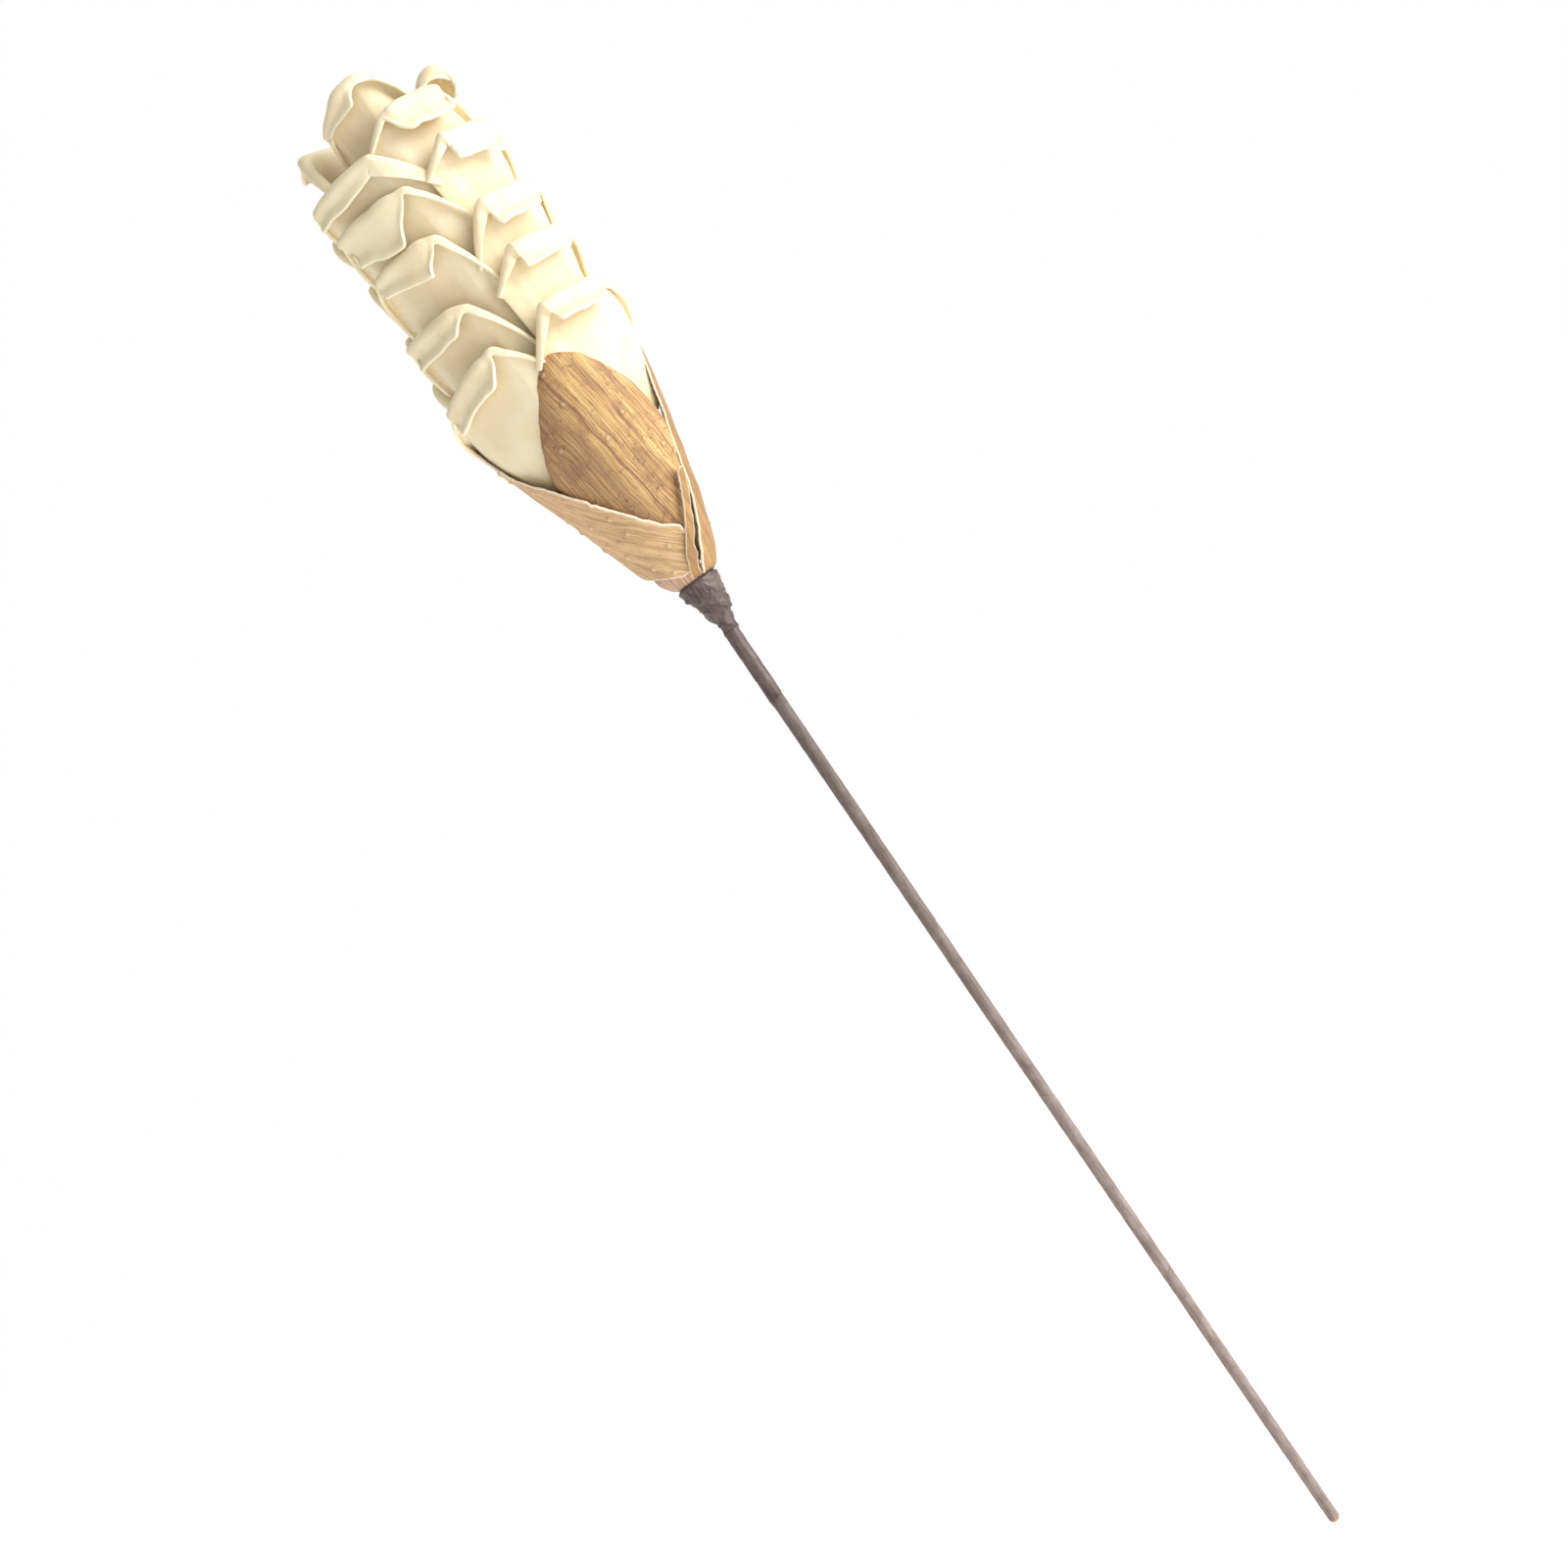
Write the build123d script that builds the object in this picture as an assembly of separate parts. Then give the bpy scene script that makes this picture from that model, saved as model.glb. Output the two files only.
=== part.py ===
from build123d import *
import os
from math import atan2, cos, hypot, pi, radians, sin

# A decorative torch flower: a tall spike of folded soft-sheet petals in a cup of dried palm bracts,
# bound with brown paper tape to a tape-wrapped stick.
# Millimetres. Z runs up the stick, and the origin is the centre of the stick's lower end.
# The front is -Y. An azimuth is measured from the front, and is positive towards +X.

# ---------------------------------------------------------------- stick and its tape
STEM_LENGTH = 450.0         # lower end of the stick to the base of the cup
END_RADIUS = 2.05           # bare stick at its lower end
NECK_RADIUS = 2.6           # bare stick where it enters the flower
END_STRAIGHT = 60.0         # length at the lower end that has one diameter
STICK_IN_FLOWER = 120.0     # how far the stick reaches above the base of the cup
STICK_CHAMFER = 0.6
TAPE = 0.3                  # thickness of the paper tape round the stick
TAPE_GAP = 0.1              # between the ends of two strips of tape
LAYER_CLEARANCE = 0.02      # between one wound layer and the next
LOWER_STRIP_TOP = 119.0     # height where the lowest strip ends
MIDDLE_STRIP_TOP = 204.0    # height where the middle strip ends

# ---------------------------------------------------------------- neck binding
SLEEVE_LENGTH = 33.0        # dark sleeve of tape below the bulb
SLEEVE_TAPE = 0.3
BULB_LENGTH = 23.0          # crumpled bulb of tape, from the base of the cup down
BULB_TOP_RADIUS = 8.2
BULB_TAPE = 0.5
BULB_CLEARANCE = 0.1        # between the neck's tape and the foot of the bulb
STRIP_IN_BULB = 4.0         # how far the stick's tape runs up inside the bulb
WIRE_RADIUS = 0.35
WIRE_TURNS = 3
WIRE_CLEARANCE = 0.05
WIRE_ROOM = 0.15            # between the wire and the middle of the bulb
HEAD_LEAN = 1.7             # degrees that the flower leans towards -X, from the foot of the bulb

# ---------------------------------------------------------------- bracts
BRACT = 0.9                 # thickness of a dried bract
LAYER_GAP = 0.4             # between one layer of bracts and the next
TAIL_LENGTH = 12.0          # gathered foot of the outer bracts, inside the bulb
TAIL_STRAIGHT = 7.0
TAIL_CLEARANCE = 1.1        # between the taped stick and the gathered feet
TAIL_TOP_RADIUS = 7.0       # outside of the outer bracts at the base of the cup
CUP_SHAPE = (               # (height, outside radius) of the outer bracts, up from the base
    (2.5, 12.0),
    (8.0, 16.2),
    (16.0, 19.8),
    (47.0, 29.8),
    (78.0, 37.4),
    (110.0, 42.8),
)
FRONT_EDGE = (              # (x, height) round the front bract, whose tip stands to one side
    (9.0, 6.0),
    (31.0, 62.0),
    (28.5, 80.0),
    (16.5, 101.5),
    (4.5, 109.0),
    (-4.5, 103.0),
    (-12.5, 93.0),
    (-20.5, 80.0),
    (-27.0, 62.0),
    (-9.0, 6.0),
)
LEFT_TIP = 101.5            # heights of the outer bracts' tips
RIGHT_TIP = 99.5
LEFT_RIM_TOP = (-34.0, 73.0)    # (x, height) where the left bract's rim turns over the front
LEFT_RIM_FOOT = (7.0, 20.0)
LEFT_FOOT_EDGE = (              # (x, height) along the left bract's cut foot
    (2.0, 4.4),
    (-4.0, 5.0),
    (-8.5, 7.0),
    (-13.0, 10.5),
    (-19.0, 20.0),
)
UNDER_GAP = 0.5                 # between the left bract's foot and the bract that shows under it
RIGHT_RIM_TOP = (29.5, 73.0)
RIGHT_RIM_FOOT = (12.5, 16.0)
RIM_PARTING = 2.0           # x where the left and right bracts part at the base of the cup
RIM_PARTING_GAP = 1.0
SPLINTER_FOOT = (1.2, 3.5)      # (x, height) of the loose splinter's lower end
SPLINTER_TOP = (16.5, 39.5)
SPLINTER_WIDTH = 3.2

# ---------------------------------------------------------------- petals
LEVELS = 11                 # pairs of opposite petals, each pair square to the one below
COLUMN_AZIMUTH = -37.0      # middle of the lowest pair's front petal
LOWEST_RIDGE = 112.5        # fold of the lowest pair, above the base of the cup
LEVEL_STEP = 12.5
RIDGE_DRIFT = (0.0, -1.0, 1.5, -1.0, 5.5, -5.0, 3.5, 1.0, -2.5, -4.0, 2.5)
BACK_DRIFT_SHARE = -0.4     # a pair's back petal drifts by this share of its front petal's drift
SHEET = 1.3                 # thickness of the soft sheet
BODY_LENGTH = 57.0          # petal from its glued foot to its fold
RIDGE_RADIUS = 36.0         # inside of a petal at its fold, over the lower levels
FOOT_RADIUS = 25.1          # inside of a petal at its foot, over the lower levels
TAPER_FROM = 6              # last level of full radius
TIP_RIDGE_RADIUS = 22.0     # inside of the topmost pair at their folds
TIP_FOOT_RADIUS = 9.3
FOLD_RADIUS = 1.6
FLAP_LENGTH = 10.5          # how far the folded-over top hangs down
FLAP_HALF_ANGLE = 26.0
SHOULDER_HALF_ANGLE = 43.0
SHOULDER_DEPTH = 24.0       # shoulder of a petal, below its fold
FOOT_HALF_ANGLE = 70.0
SECTOR_HALF_ANGLE = 78.0    # a petal never reaches further round than this

# ---------------------------------------------------------------- core and bud
CORE_BASE = 7.0             # lower end of the core above the base of the cup
CORE_BASE_RADIUS = 8.0
CORE_CHEEK = (16.0, 16.4)   # (height, radius) where the core's blunt base turns up
CORE_FULL_HEIGHT = 45.0     # height where the core reaches its full radius
CORE_CROWN = 22.0           # core above the topmost petals' feet
CORE_CROWN_RADIUS = 6.0
GLUE = 0.3                  # glue line between a petal and the core
BORE_CLEARANCE = 0.1
BUD_HEIGHT = 30.0           # rolled bud on the tip of the core
BUD_INNER_RADIUS = 2.2
BUD_TURNS = 2.3
BUD_TURN_GAP = 0.8

BULB_FOOT = STEM_LENGTH - BULB_LENGTH
SLEEVE_FOOT = BULB_FOOT - SLEEVE_LENGTH
TAPED_NECK = NECK_RADIUS + TAPE
TAIL_RADIUS = TAPED_NECK + TAIL_CLEARANCE + BRACT
BULB_FOOT_RADIUS = TAPED_NECK + SLEEVE_TAPE + BULB_CLEARANCE + BULB_TAPE
BULB_MIDDLE_RADIUS = TAIL_RADIUS + WIRE_CLEARANCE + 2 * WIRE_RADIUS + WIRE_ROOM + BULB_TAPE     # half way down
FAR = 80.0                  # further out than any part of the flower


def ring(outline, start=0.0, end=360.0):
    """Turns a closed outline of (radius, height) points round Z, from one azimuth to another."""
    face = make_face(Polyline(*[(r, 0, h) for r, h in outline], close=True))
    return Rot(0, 0, start - 90) * revolve(face, Axis.Z, end - start)


def prism(outline, both_sides=False):
    """A block that shows a closed outline of (x, height) points when it is seen from the front."""
    face = make_face(Polyline(*[(x, 0, h) for x, h in outline], close=True))
    front = extrude(face, amount=FAR, dir=(0, -1, 0))
    if both_sides:
        return front + extrude(face, amount=FAR, dir=(0, 1, 0))
    return front


def on_neck(shape):
    """Places a part of the flower, made with the cup's base at height 0, on the leaning neck."""
    return Pos(0, 0, BULB_FOOT) * Rot(0, -HEAD_LEAN, 0) * Pos(0, 0, BULB_LENGTH) * shape


def between(low, high, share):
    return low + (high - low) * share


# ================================================================ stick, tape and wire
def stick_radius(height):
    """Radius of the bare stick: even over the lower end, then a slow natural taper."""
    share = (height - END_STRAIGHT) / (STEM_LENGTH - END_STRAIGHT)
    return between(END_RADIUS, NECK_RADIUS, max(0.0, share))


def stem_stick():
    top = STEM_LENGTH + STICK_IN_FLOWER
    return ring([
        (0, 0),
        (END_RADIUS - STICK_CHAMFER, 0),
        (END_RADIUS, STICK_CHAMFER),
        (END_RADIUS, END_STRAIGHT),
        (NECK_RADIUS, STEM_LENGTH),
        (NECK_RADIUS, top - STICK_CHAMFER),
        (NECK_RADIUS - STICK_CHAMFER, top),
        (0, top),
    ])


def tape_strip(foot, top, thickness, layers_below=0.0):
    """A strip of tape wound round the stick, over layers of tape that are already there."""
    heights = [foot, top]
    if foot < END_STRAIGHT < top:
        heights = [foot, END_STRAIGHT, top]
    inner = [(stick_radius(h) + layers_below + LAYER_CLEARANCE, h) for h in heights]
    outer = [(r - LAYER_CLEARANCE + thickness, h) for r, h in reversed(inner)]
    return ring(inner + outer)


def neck_bulb():
    """Crumpled bulb of tape over the gathered feet of the bracts."""
    outer = [
        (BULB_FOOT_RADIUS, -BULB_LENGTH),
        (BULB_MIDDLE_RADIUS, -BULB_LENGTH / 2),
        (BULB_TOP_RADIUS, 0.0),
    ]
    inner = [(r - BULB_TAPE, h) for r, h in reversed(outer)]
    return on_neck(ring(outer + inner))


def binding_wire():
    """Turns of thin wire that clamp the bracts' feet to the stick, under the bulb of tape."""
    ring_radius = TAIL_RADIUS + WIRE_RADIUS + WIRE_CLEARANCE
    pitch = 2 * WIRE_RADIUS + WIRE_CLEARANCE
    middle = -TAIL_LENGTH + TAIL_STRAIGHT / 2
    turns = []
    for turn in range(WIRE_TURNS):
        height = middle + pitch * (turn - (WIRE_TURNS - 1) / 2)
        turns.append(on_neck(Pos(0, 0, height) * Torus(ring_radius, WIRE_RADIUS)))
    return Compound(children=turns)


# ================================================================ bracts
def layer_shell(layer):
    """Whole cup-shaped shell of one layer: 0 is the outer bracts, 1 lies inside them, -1 outside."""
    profile = [
        (TAIL_RADIUS, -TAIL_LENGTH),
        (TAIL_RADIUS, TAIL_STRAIGHT - TAIL_LENGTH),
        (TAIL_TOP_RADIUS, 0.0),
    ]
    profile += [(r, h) for h, r in CUP_SHAPE]
    outside = layer * (BRACT + LAYER_GAP)
    outer = moved_inwards(profile, outside)
    inner = moved_inwards(profile, outside + BRACT)
    return ring(outer + inner[::-1])


def moved_inwards(profile, distance):
    """A rising profile of (radius, height) points, moved square to itself towards the axis."""
    moved = []
    for index, (r, h) in enumerate(profile):
        before = profile[max(index - 1, 0)]
        after = profile[min(index + 1, len(profile) - 1)]
        run, rise = after[0] - before[0], after[1] - before[1]
        length = hypot(run, rise)
        moved.append((r - distance * rise / length, h + distance * run / length))
    return moved


def inner_bract(azimuth):
    """Broad egg-shaped bract that backs the petals, with its foot on the core."""
    return on_neck(Rot(0, 0, azimuth) * (layer_shell(1) & prism(FRONT_EDGE)))


def bract_left():
    """Broad outer bract that wraps over the front and the back, with a slanting cut foot."""
    outline = [
        *LEFT_FOOT_EDGE[::-1],
        LEFT_RIM_FOOT,
        LEFT_RIM_TOP,
        (1.15 * LEFT_RIM_TOP[0], LEFT_TIP),
        (-FAR, LEFT_TIP),
        (-FAR, LEFT_FOOT_EDGE[-1][1]),
    ]
    return on_neck(layer_shell(0) & prism(outline, both_sides=True))


def bract_under():
    """Bract that shows below the left bract's foot, and runs down into the bulb."""
    top = LEFT_FOOT_EDGE[-1]
    outline = [
        (RIM_PARTING, -TAIL_LENGTH),
        (RIM_PARTING, LEFT_FOOT_EDGE[0][1] - UNDER_GAP),
        *[(x, h - UNDER_GAP) for x, h in LEFT_FOOT_EDGE[1:]],
        (-FAR, top[1] - UNDER_GAP),
        (-FAR, -TAIL_LENGTH),
    ]
    return on_neck(layer_shell(0) & prism(outline, both_sides=True))


def bract_right():
    foot_x = RIM_PARTING + RIM_PARTING_GAP
    outline = [
        (foot_x, -TAIL_LENGTH),
        (foot_x, 0),
        RIGHT_RIM_FOOT,
        RIGHT_RIM_TOP,
        (1.3 * RIGHT_RIM_TOP[0], RIGHT_TIP),
        (FAR, RIGHT_TIP),
        (FAR, -TAIL_LENGTH),
    ]
    return on_neck(layer_shell(0) & prism(outline, both_sides=True))


def bract_splinter():
    """Loose strip torn from a bract, lying over the parting between the left and right ones."""
    (x_low, low), (x_high, high) = SPLINTER_FOOT, SPLINTER_TOP
    half = SPLINTER_WIDTH / 2
    outline = [(x_low - half, low), (x_low + half, low), (x_high + half, high), (x_high - half, high)]
    return on_neck(layer_shell(-1) & prism(outline))


# ================================================================ petals
def level_radii(level):
    """Inside radii of a level's petals at foot and fold."""
    share = max(0, level - TAPER_FROM) / (LEVELS - 1 - TAPER_FROM)
    return between(FOOT_RADIUS, TIP_FOOT_RADIUS, share), between(RIDGE_RADIUS, TIP_RIDGE_RADIUS, share)


def foot_height(level):
    foot_radius, ridge_radius = level_radii(level)
    slant = (BODY_LENGTH ** 2 - (ridge_radius - foot_radius) ** 2) ** 0.5
    return LOWEST_RIDGE + level * LEVEL_STEP - slant


def petal(level, at_back):
    """One petal: a tapered sheet from its glued foot up to its fold, and the flap folded outwards."""
    foot_radius, ridge_radius = level_radii(level)
    low = foot_height(level)
    drift = RIDGE_DRIFT[level] * (BACK_DRIFT_SHARE if at_back else 1)
    length = BODY_LENGTH + drift
    tilt = atan2(ridge_radius - foot_radius, LOWEST_RIDGE + level * LEVEL_STEP - low)

    def at(along, out):
        """(radius, height) of a place so far up the sheet and so far out from its inside face."""
        radius = foot_radius + along * sin(tilt) + out * cos(tilt)
        return radius, low + along * cos(tilt) - out * sin(tilt)

    body = ring(
        [at(0, 0), at(length, 0), at(length, SHEET), at(0, SHEET)],
        -SECTOR_HALF_ANGLE,
        SECTOR_HALF_ANGLE,
    )
    reach = ridge_radius + SHEET
    ridge_height = at(length, 0)[1] + SHEET
    corners = [
        (reach * sin(radians(FLAP_HALF_ANGLE)), ridge_height),
        (reach * sin(radians(SHOULDER_HALF_ANGLE)), ridge_height - SHOULDER_DEPTH),
        (reach * sin(radians(FOOT_HALF_ANGLE)), low - SHEET),
    ]
    outline = corners + [(-x, h) for x, h in reversed(corners)]
    body = body & prism(outline)

    middle = SHEET + FOLD_RADIUS
    outside = middle + FOLD_RADIUS
    points = [
        at(length, 0),
        at(length + middle, middle),
        at(length, outside + SHEET),
        at(length - FLAP_LENGTH, outside + SHEET),
        at(length - FLAP_LENGTH, outside),
        at(length, outside),
        at(length + FOLD_RADIUS, middle),
        at(length, SHEET),
    ]
    p = [(r, 0, h) for r, h in points]
    edges = [
        ThreePointArc(p[0], p[1], p[2]),
        Line(p[2], p[3]),
        Line(p[3], p[4]),
        Line(p[4], p[5]),
        ThreePointArc(p[5], p[6], p[7]),
        Line(p[7], p[0]),
    ]
    flap = revolve(make_face(edges), Axis.Z, 2 * FLAP_HALF_ANGLE)
    flap = Rot(0, 0, -FLAP_HALF_ANGLE - 90) * flap
    azimuth = COLUMN_AZIMUTH + 90 * (level % 2) + (180 if at_back else 0)
    return on_neck(Rot(0, 0, azimuth) * (body + flap))


# ================================================================ core and bud
def core_top():
    return foot_height(LEVELS - 1) + CORE_CROWN


def head_core():
    """Light core that the petals are glued to, bored for the stick."""
    full = FOOT_RADIUS - GLUE
    body = ring([
        (0, CORE_BASE),
        (CORE_BASE_RADIUS, CORE_BASE),
        (CORE_CHEEK[1], CORE_CHEEK[0]),
        (full, CORE_FULL_HEIGHT),
        (full, foot_height(TAPER_FROM)),
        (TIP_FOOT_RADIUS - GLUE, foot_height(LEVELS - 1)),
        (CORE_CROWN_RADIUS, core_top()),
        (0, core_top()),
    ])
    bore_depth = STEM_LENGTH + STICK_IN_FLOWER + BORE_CLEARANCE
    bore = Cylinder(NECK_RADIUS + BORE_CLEARANCE, bore_depth, align=(Align.CENTER, Align.CENTER, Align.MIN))
    return on_neck(body) - bore


def tip_bud():
    """The innermost petal, rolled up and glued on end on the core's tip."""
    pitch = SHEET + BUD_TURN_GAP
    steps = range(int(BUD_TURNS * 12) + 1)

    def spiral(offset):
        places = []
        for step in steps:
            angle = 2 * pi * step / 12
            radius = BUD_INNER_RADIUS + offset + pitch * step / 12
            places.append((radius * cos(angle), radius * sin(angle), 0))
        return places

    inner, outer = spiral(0), spiral(SHEET)
    edges = [Spline(*inner), Line(inner[-1], outer[-1]), Spline(*outer[::-1]), Line(outer[0], inner[0])]
    roll = extrude(make_face(edges), amount=BUD_HEIGHT)
    return on_neck(Pos(0, 0, core_top() + GLUE) * roll)


# ================================================================ the pieces
def pieces():
    strip_top = BULB_FOOT + STRIP_IN_BULB
    made = {
        "stem_stick": stem_stick(),
        "stem_tape_lower": tape_strip(0, LOWER_STRIP_TOP, TAPE),
        "stem_tape_middle": tape_strip(LOWER_STRIP_TOP + TAPE_GAP, MIDDLE_STRIP_TOP, TAPE),
        "stem_tape_upper": tape_strip(MIDDLE_STRIP_TOP + TAPE_GAP, strip_top, TAPE),
        "neck_sleeve": tape_strip(SLEEVE_FOOT, BULB_FOOT, SLEEVE_TAPE, layers_below=TAPE),
        "neck_bulb": neck_bulb(),
        "binding_wire": binding_wire(),
        "head_core": head_core(),
        "tip_bud": tip_bud(),
        "bract_front": inner_bract(0),
        "bract_back": inner_bract(180),
        "bract_left": bract_left(),
        "bract_under": bract_under(),
        "bract_right": bract_right(),
        "bract_splinter": bract_splinter(),
    }
    for level in range(LEVELS):
        made[f"petal_front_{level + 1:02d}"] = petal(level, at_back=False)
        made[f"petal_back_{level + 1:02d}"] = petal(level, at_back=True)
    return made


os.makedirs("parts", exist_ok=True)
for name, shape in pieces().items():
    export_step(shape, f"parts/{name}.step")
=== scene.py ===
import math

import bpy
import numpy as np
from mathutils import Matrix, Vector, noise


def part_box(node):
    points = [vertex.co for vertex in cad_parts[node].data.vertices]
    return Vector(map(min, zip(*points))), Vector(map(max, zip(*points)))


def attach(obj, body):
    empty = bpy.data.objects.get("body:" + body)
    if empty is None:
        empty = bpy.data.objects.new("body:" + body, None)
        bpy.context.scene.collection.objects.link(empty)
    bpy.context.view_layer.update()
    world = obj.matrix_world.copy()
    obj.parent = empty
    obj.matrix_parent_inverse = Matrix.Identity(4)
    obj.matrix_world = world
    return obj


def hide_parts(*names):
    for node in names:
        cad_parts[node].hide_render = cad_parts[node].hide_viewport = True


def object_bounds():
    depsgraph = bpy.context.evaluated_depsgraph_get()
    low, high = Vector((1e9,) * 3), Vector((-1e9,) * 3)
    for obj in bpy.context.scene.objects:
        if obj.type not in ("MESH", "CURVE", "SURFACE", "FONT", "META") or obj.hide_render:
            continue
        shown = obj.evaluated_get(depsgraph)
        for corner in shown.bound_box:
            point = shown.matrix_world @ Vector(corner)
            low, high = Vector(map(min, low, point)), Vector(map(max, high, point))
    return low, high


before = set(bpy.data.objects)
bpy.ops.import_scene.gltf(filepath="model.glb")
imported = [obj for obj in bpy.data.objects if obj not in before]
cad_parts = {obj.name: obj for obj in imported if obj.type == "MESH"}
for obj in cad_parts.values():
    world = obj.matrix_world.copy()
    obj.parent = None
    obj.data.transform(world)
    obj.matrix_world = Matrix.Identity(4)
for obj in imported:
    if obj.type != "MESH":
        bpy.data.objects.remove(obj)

cad_low, cad_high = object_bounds()
MM = 0.001

# ==================================================================== view
# The flower stands upright on the end of its stick and is looked at square from the front.
# The camera is rolled, so that the stick runs slanting across the frame.
STEM_SLANT = math.radians(34.23)
AIM_HEIGHT = 0.527 * (cad_high.z - cad_low.z)
AIM_ASIDE = -0.0168
FRAME_WIDTH = 0.622  # how much of the flower's plane the frame takes in, in metres
LENS, SENSOR = 100.0, 36.0

right = Vector((math.cos(STEM_SLANT), 0, -math.sin(STEM_SLANT)))
up = Vector((math.sin(STEM_SLANT), 0, math.cos(STEM_SLANT)))
back = Vector((0, -1, 0))
camera = bpy.data.objects.new("camera", bpy.data.cameras.new("camera"))
camera.data.lens = LENS
camera.data.sensor_width = SENSOR
camera.matrix_world = Matrix((right, up, back)).transposed().to_4x4()
camera.location = Vector((AIM_ASIDE, 0, AIM_HEIGHT)) + back * (FRAME_WIDTH * LENS / SENSOR)
bpy.context.collection.objects.link(camera)
bpy.context.scene.camera = camera

# ==================================================================== studio
# A pale floor, a white tent all round, and one large soft light on the right.
# The floor glows a little, like a light table, so that it runs into the tent without a line.
FLOOR_SIZE = 40.0
FLOOR_DROP = 0.0005
KEY_PLACE = Vector((1.6, -0.62, 1.05))
KEY_SIZE = 1.4
KEY_POWER = 41.0
KEY_COLOUR = (1.0, 0.99, 0.975)
KEY_TARGET = Vector((0, 0, 0.56))
TENT_LIGHT = 0.53
FLOOR_GLOW = 0.62
PAPER = (0.92, 0.92, 0.91, 1)

floor_mesh = bpy.data.meshes.new("floor")
corners = [
    (x * FLOOR_SIZE / 2, y * FLOOR_SIZE / 2, -FLOOR_DROP)
    for x, y in ((-1, -1), (1, -1), (1, 1), (-1, 1))
]
floor_mesh.from_pydata(corners, [], [(0, 1, 2, 3)])
floor = bpy.data.objects.new("floor", floor_mesh)
bpy.context.collection.objects.link(floor)
paper = bpy.data.materials.new("floor_paper")
paper.use_nodes = True
paper_shader = paper.node_tree.nodes["Principled BSDF"]
paper_shader.inputs["Base Color"].default_value = PAPER
paper_shader.inputs["Roughness"].default_value = 0.9
paper_shader.inputs["Emission Color"].default_value = (1, 1, 1, 1)
paper_shader.inputs["Emission Strength"].default_value = FLOOR_GLOW
floor_mesh.materials.append(paper)

world = bpy.data.worlds.new("tent")
world.use_nodes = True
bpy.context.scene.world = world
tent = world.node_tree
tent_light = tent.nodes["Background"]
tent_light.inputs["Color"].default_value = (1, 0.995, 0.985, 1)
tent_light.inputs["Strength"].default_value = TENT_LIGHT
tent_wall = tent.nodes.new("ShaderNodeBackground")
tent_wall.inputs["Color"].default_value = (1, 1, 1, 1)
tent_wall.inputs["Strength"].default_value = 1.0
seen = tent.nodes.new("ShaderNodeLightPath")
tent_mix = tent.nodes.new("ShaderNodeMixShader")
tent.links.new(seen.outputs["Is Camera Ray"], tent_mix.inputs["Fac"])
tent.links.new(tent_light.outputs[0], tent_mix.inputs[1])
tent.links.new(tent_wall.outputs[0], tent_mix.inputs[2])
tent.links.new(tent_mix.outputs[0], tent.nodes["World Output"].inputs["Surface"])


def soft_light(name, place, target, size, power, colour):
    """A square area light that faces a place."""
    lamp = bpy.data.lights.new(name, "AREA")
    lamp.size = size
    lamp.energy = power
    lamp.color = colour
    holder = bpy.data.objects.new(name, lamp)
    holder.location = place
    holder.rotation_euler = (target - place).to_track_quat("-Z", "Y").to_euler()
    bpy.context.collection.objects.link(holder)


soft_light("key", KEY_PLACE, KEY_TARGET, KEY_SIZE, KEY_POWER, KEY_COLOUR)
bpy.context.scene.view_settings.view_transform = "Standard"

# ==================================================================== stick
# A turned wooden stick, slightly tapered, runs the whole length and up into the core.
# It is all inside its tape, so only its grain and colour are set.
STICK_LIGHT = (0.52, 0.37, 0.22, 1)
STICK_DARK = (0.34, 0.22, 0.12, 1)
STICK_FIBRES, STICK_FIBRE_LENGTH = 3000.0, 60.0
CRACK_WIDTH = 0.012


def new_material(name, roughness):
    """A node material, with its tree and its Principled shader."""
    material = bpy.data.materials.new(name)
    material.use_nodes = True
    shader = material.node_tree.nodes["Principled BSDF"]
    shader.inputs["Roughness"].default_value = roughness
    return material, material.node_tree, shader


def add(tree, kind, settings=None, **links):
    """Adds a node. Each keyword names an input, with _ for a space, or i and its number."""
    node = tree.nodes.new(kind)
    for key, value in (settings or {}).items():
        setattr(node, key, value)
    for key, value in links.items():
        numbered = key[0] == "i" and key[1:].isdigit()
        socket = node.inputs[int(key[1:]) if numbered else key.replace("_", " ")]
        if isinstance(value, bpy.types.NodeSocket):
            tree.links.new(value, socket)
        else:
            socket.default_value = value
    return node


def open_sockets(tree, direction, kind, *names):
    """Gives a node group its named inputs or outputs of one kind."""
    for name in names:
        tree.interface.new_socket(name, in_out=direction, socket_type="NodeSocket" + kind)


def math_of(tree, operation, a, b=0.0, c=0.0):
    """The result of a Math node."""
    return add(tree, "ShaderNodeMath", {"operation": operation}, i0=a, i1=b, i2=c).outputs[0]


def remap(tree, value, low, high, at_low, at_high, kind="SMOOTHSTEP"):
    """Carries a value from one range to another."""
    settings = {"interpolation_type": kind}
    node = add(tree, "ShaderNodeMapRange", settings, i0=value, i1=low, i2=high, i3=at_low, i4=at_high)
    return node.outputs[0]


def clouds(tree, vector, scale, detail=2.0, roughness=0.5):
    """Soft noise, around a half."""
    settings = {"Vector": vector, "Scale": scale, "Detail": detail, "Roughness": roughness}
    return add(tree, "ShaderNodeTexNoise", **settings).outputs["Fac"]


def emboss(tree, shader, height, distance, strength):
    """Turns a height into small relief on the shader."""
    bump = add(tree, "ShaderNodeBump", Height=height, Distance=distance, Strength=strength)
    tree.links.new(bump.outputs[0], shader.inputs["Normal"])


def ramp(tree, value, stops, smooth=False):
    """A colour ramp over (place, colour) stops."""
    node = tree.nodes.new("ShaderNodeValToRGB")
    node.color_ramp.interpolation = "EASE" if smooth else "LINEAR"
    elements = node.color_ramp.elements
    while len(elements) < len(stops):
        elements.new(0.5)
    for element, (place, colour) in zip(elements, stops):
        element.position = place
        element.color = colour
    tree.links.new(value, node.inputs["Fac"])
    return node.outputs["Color"]


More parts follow.
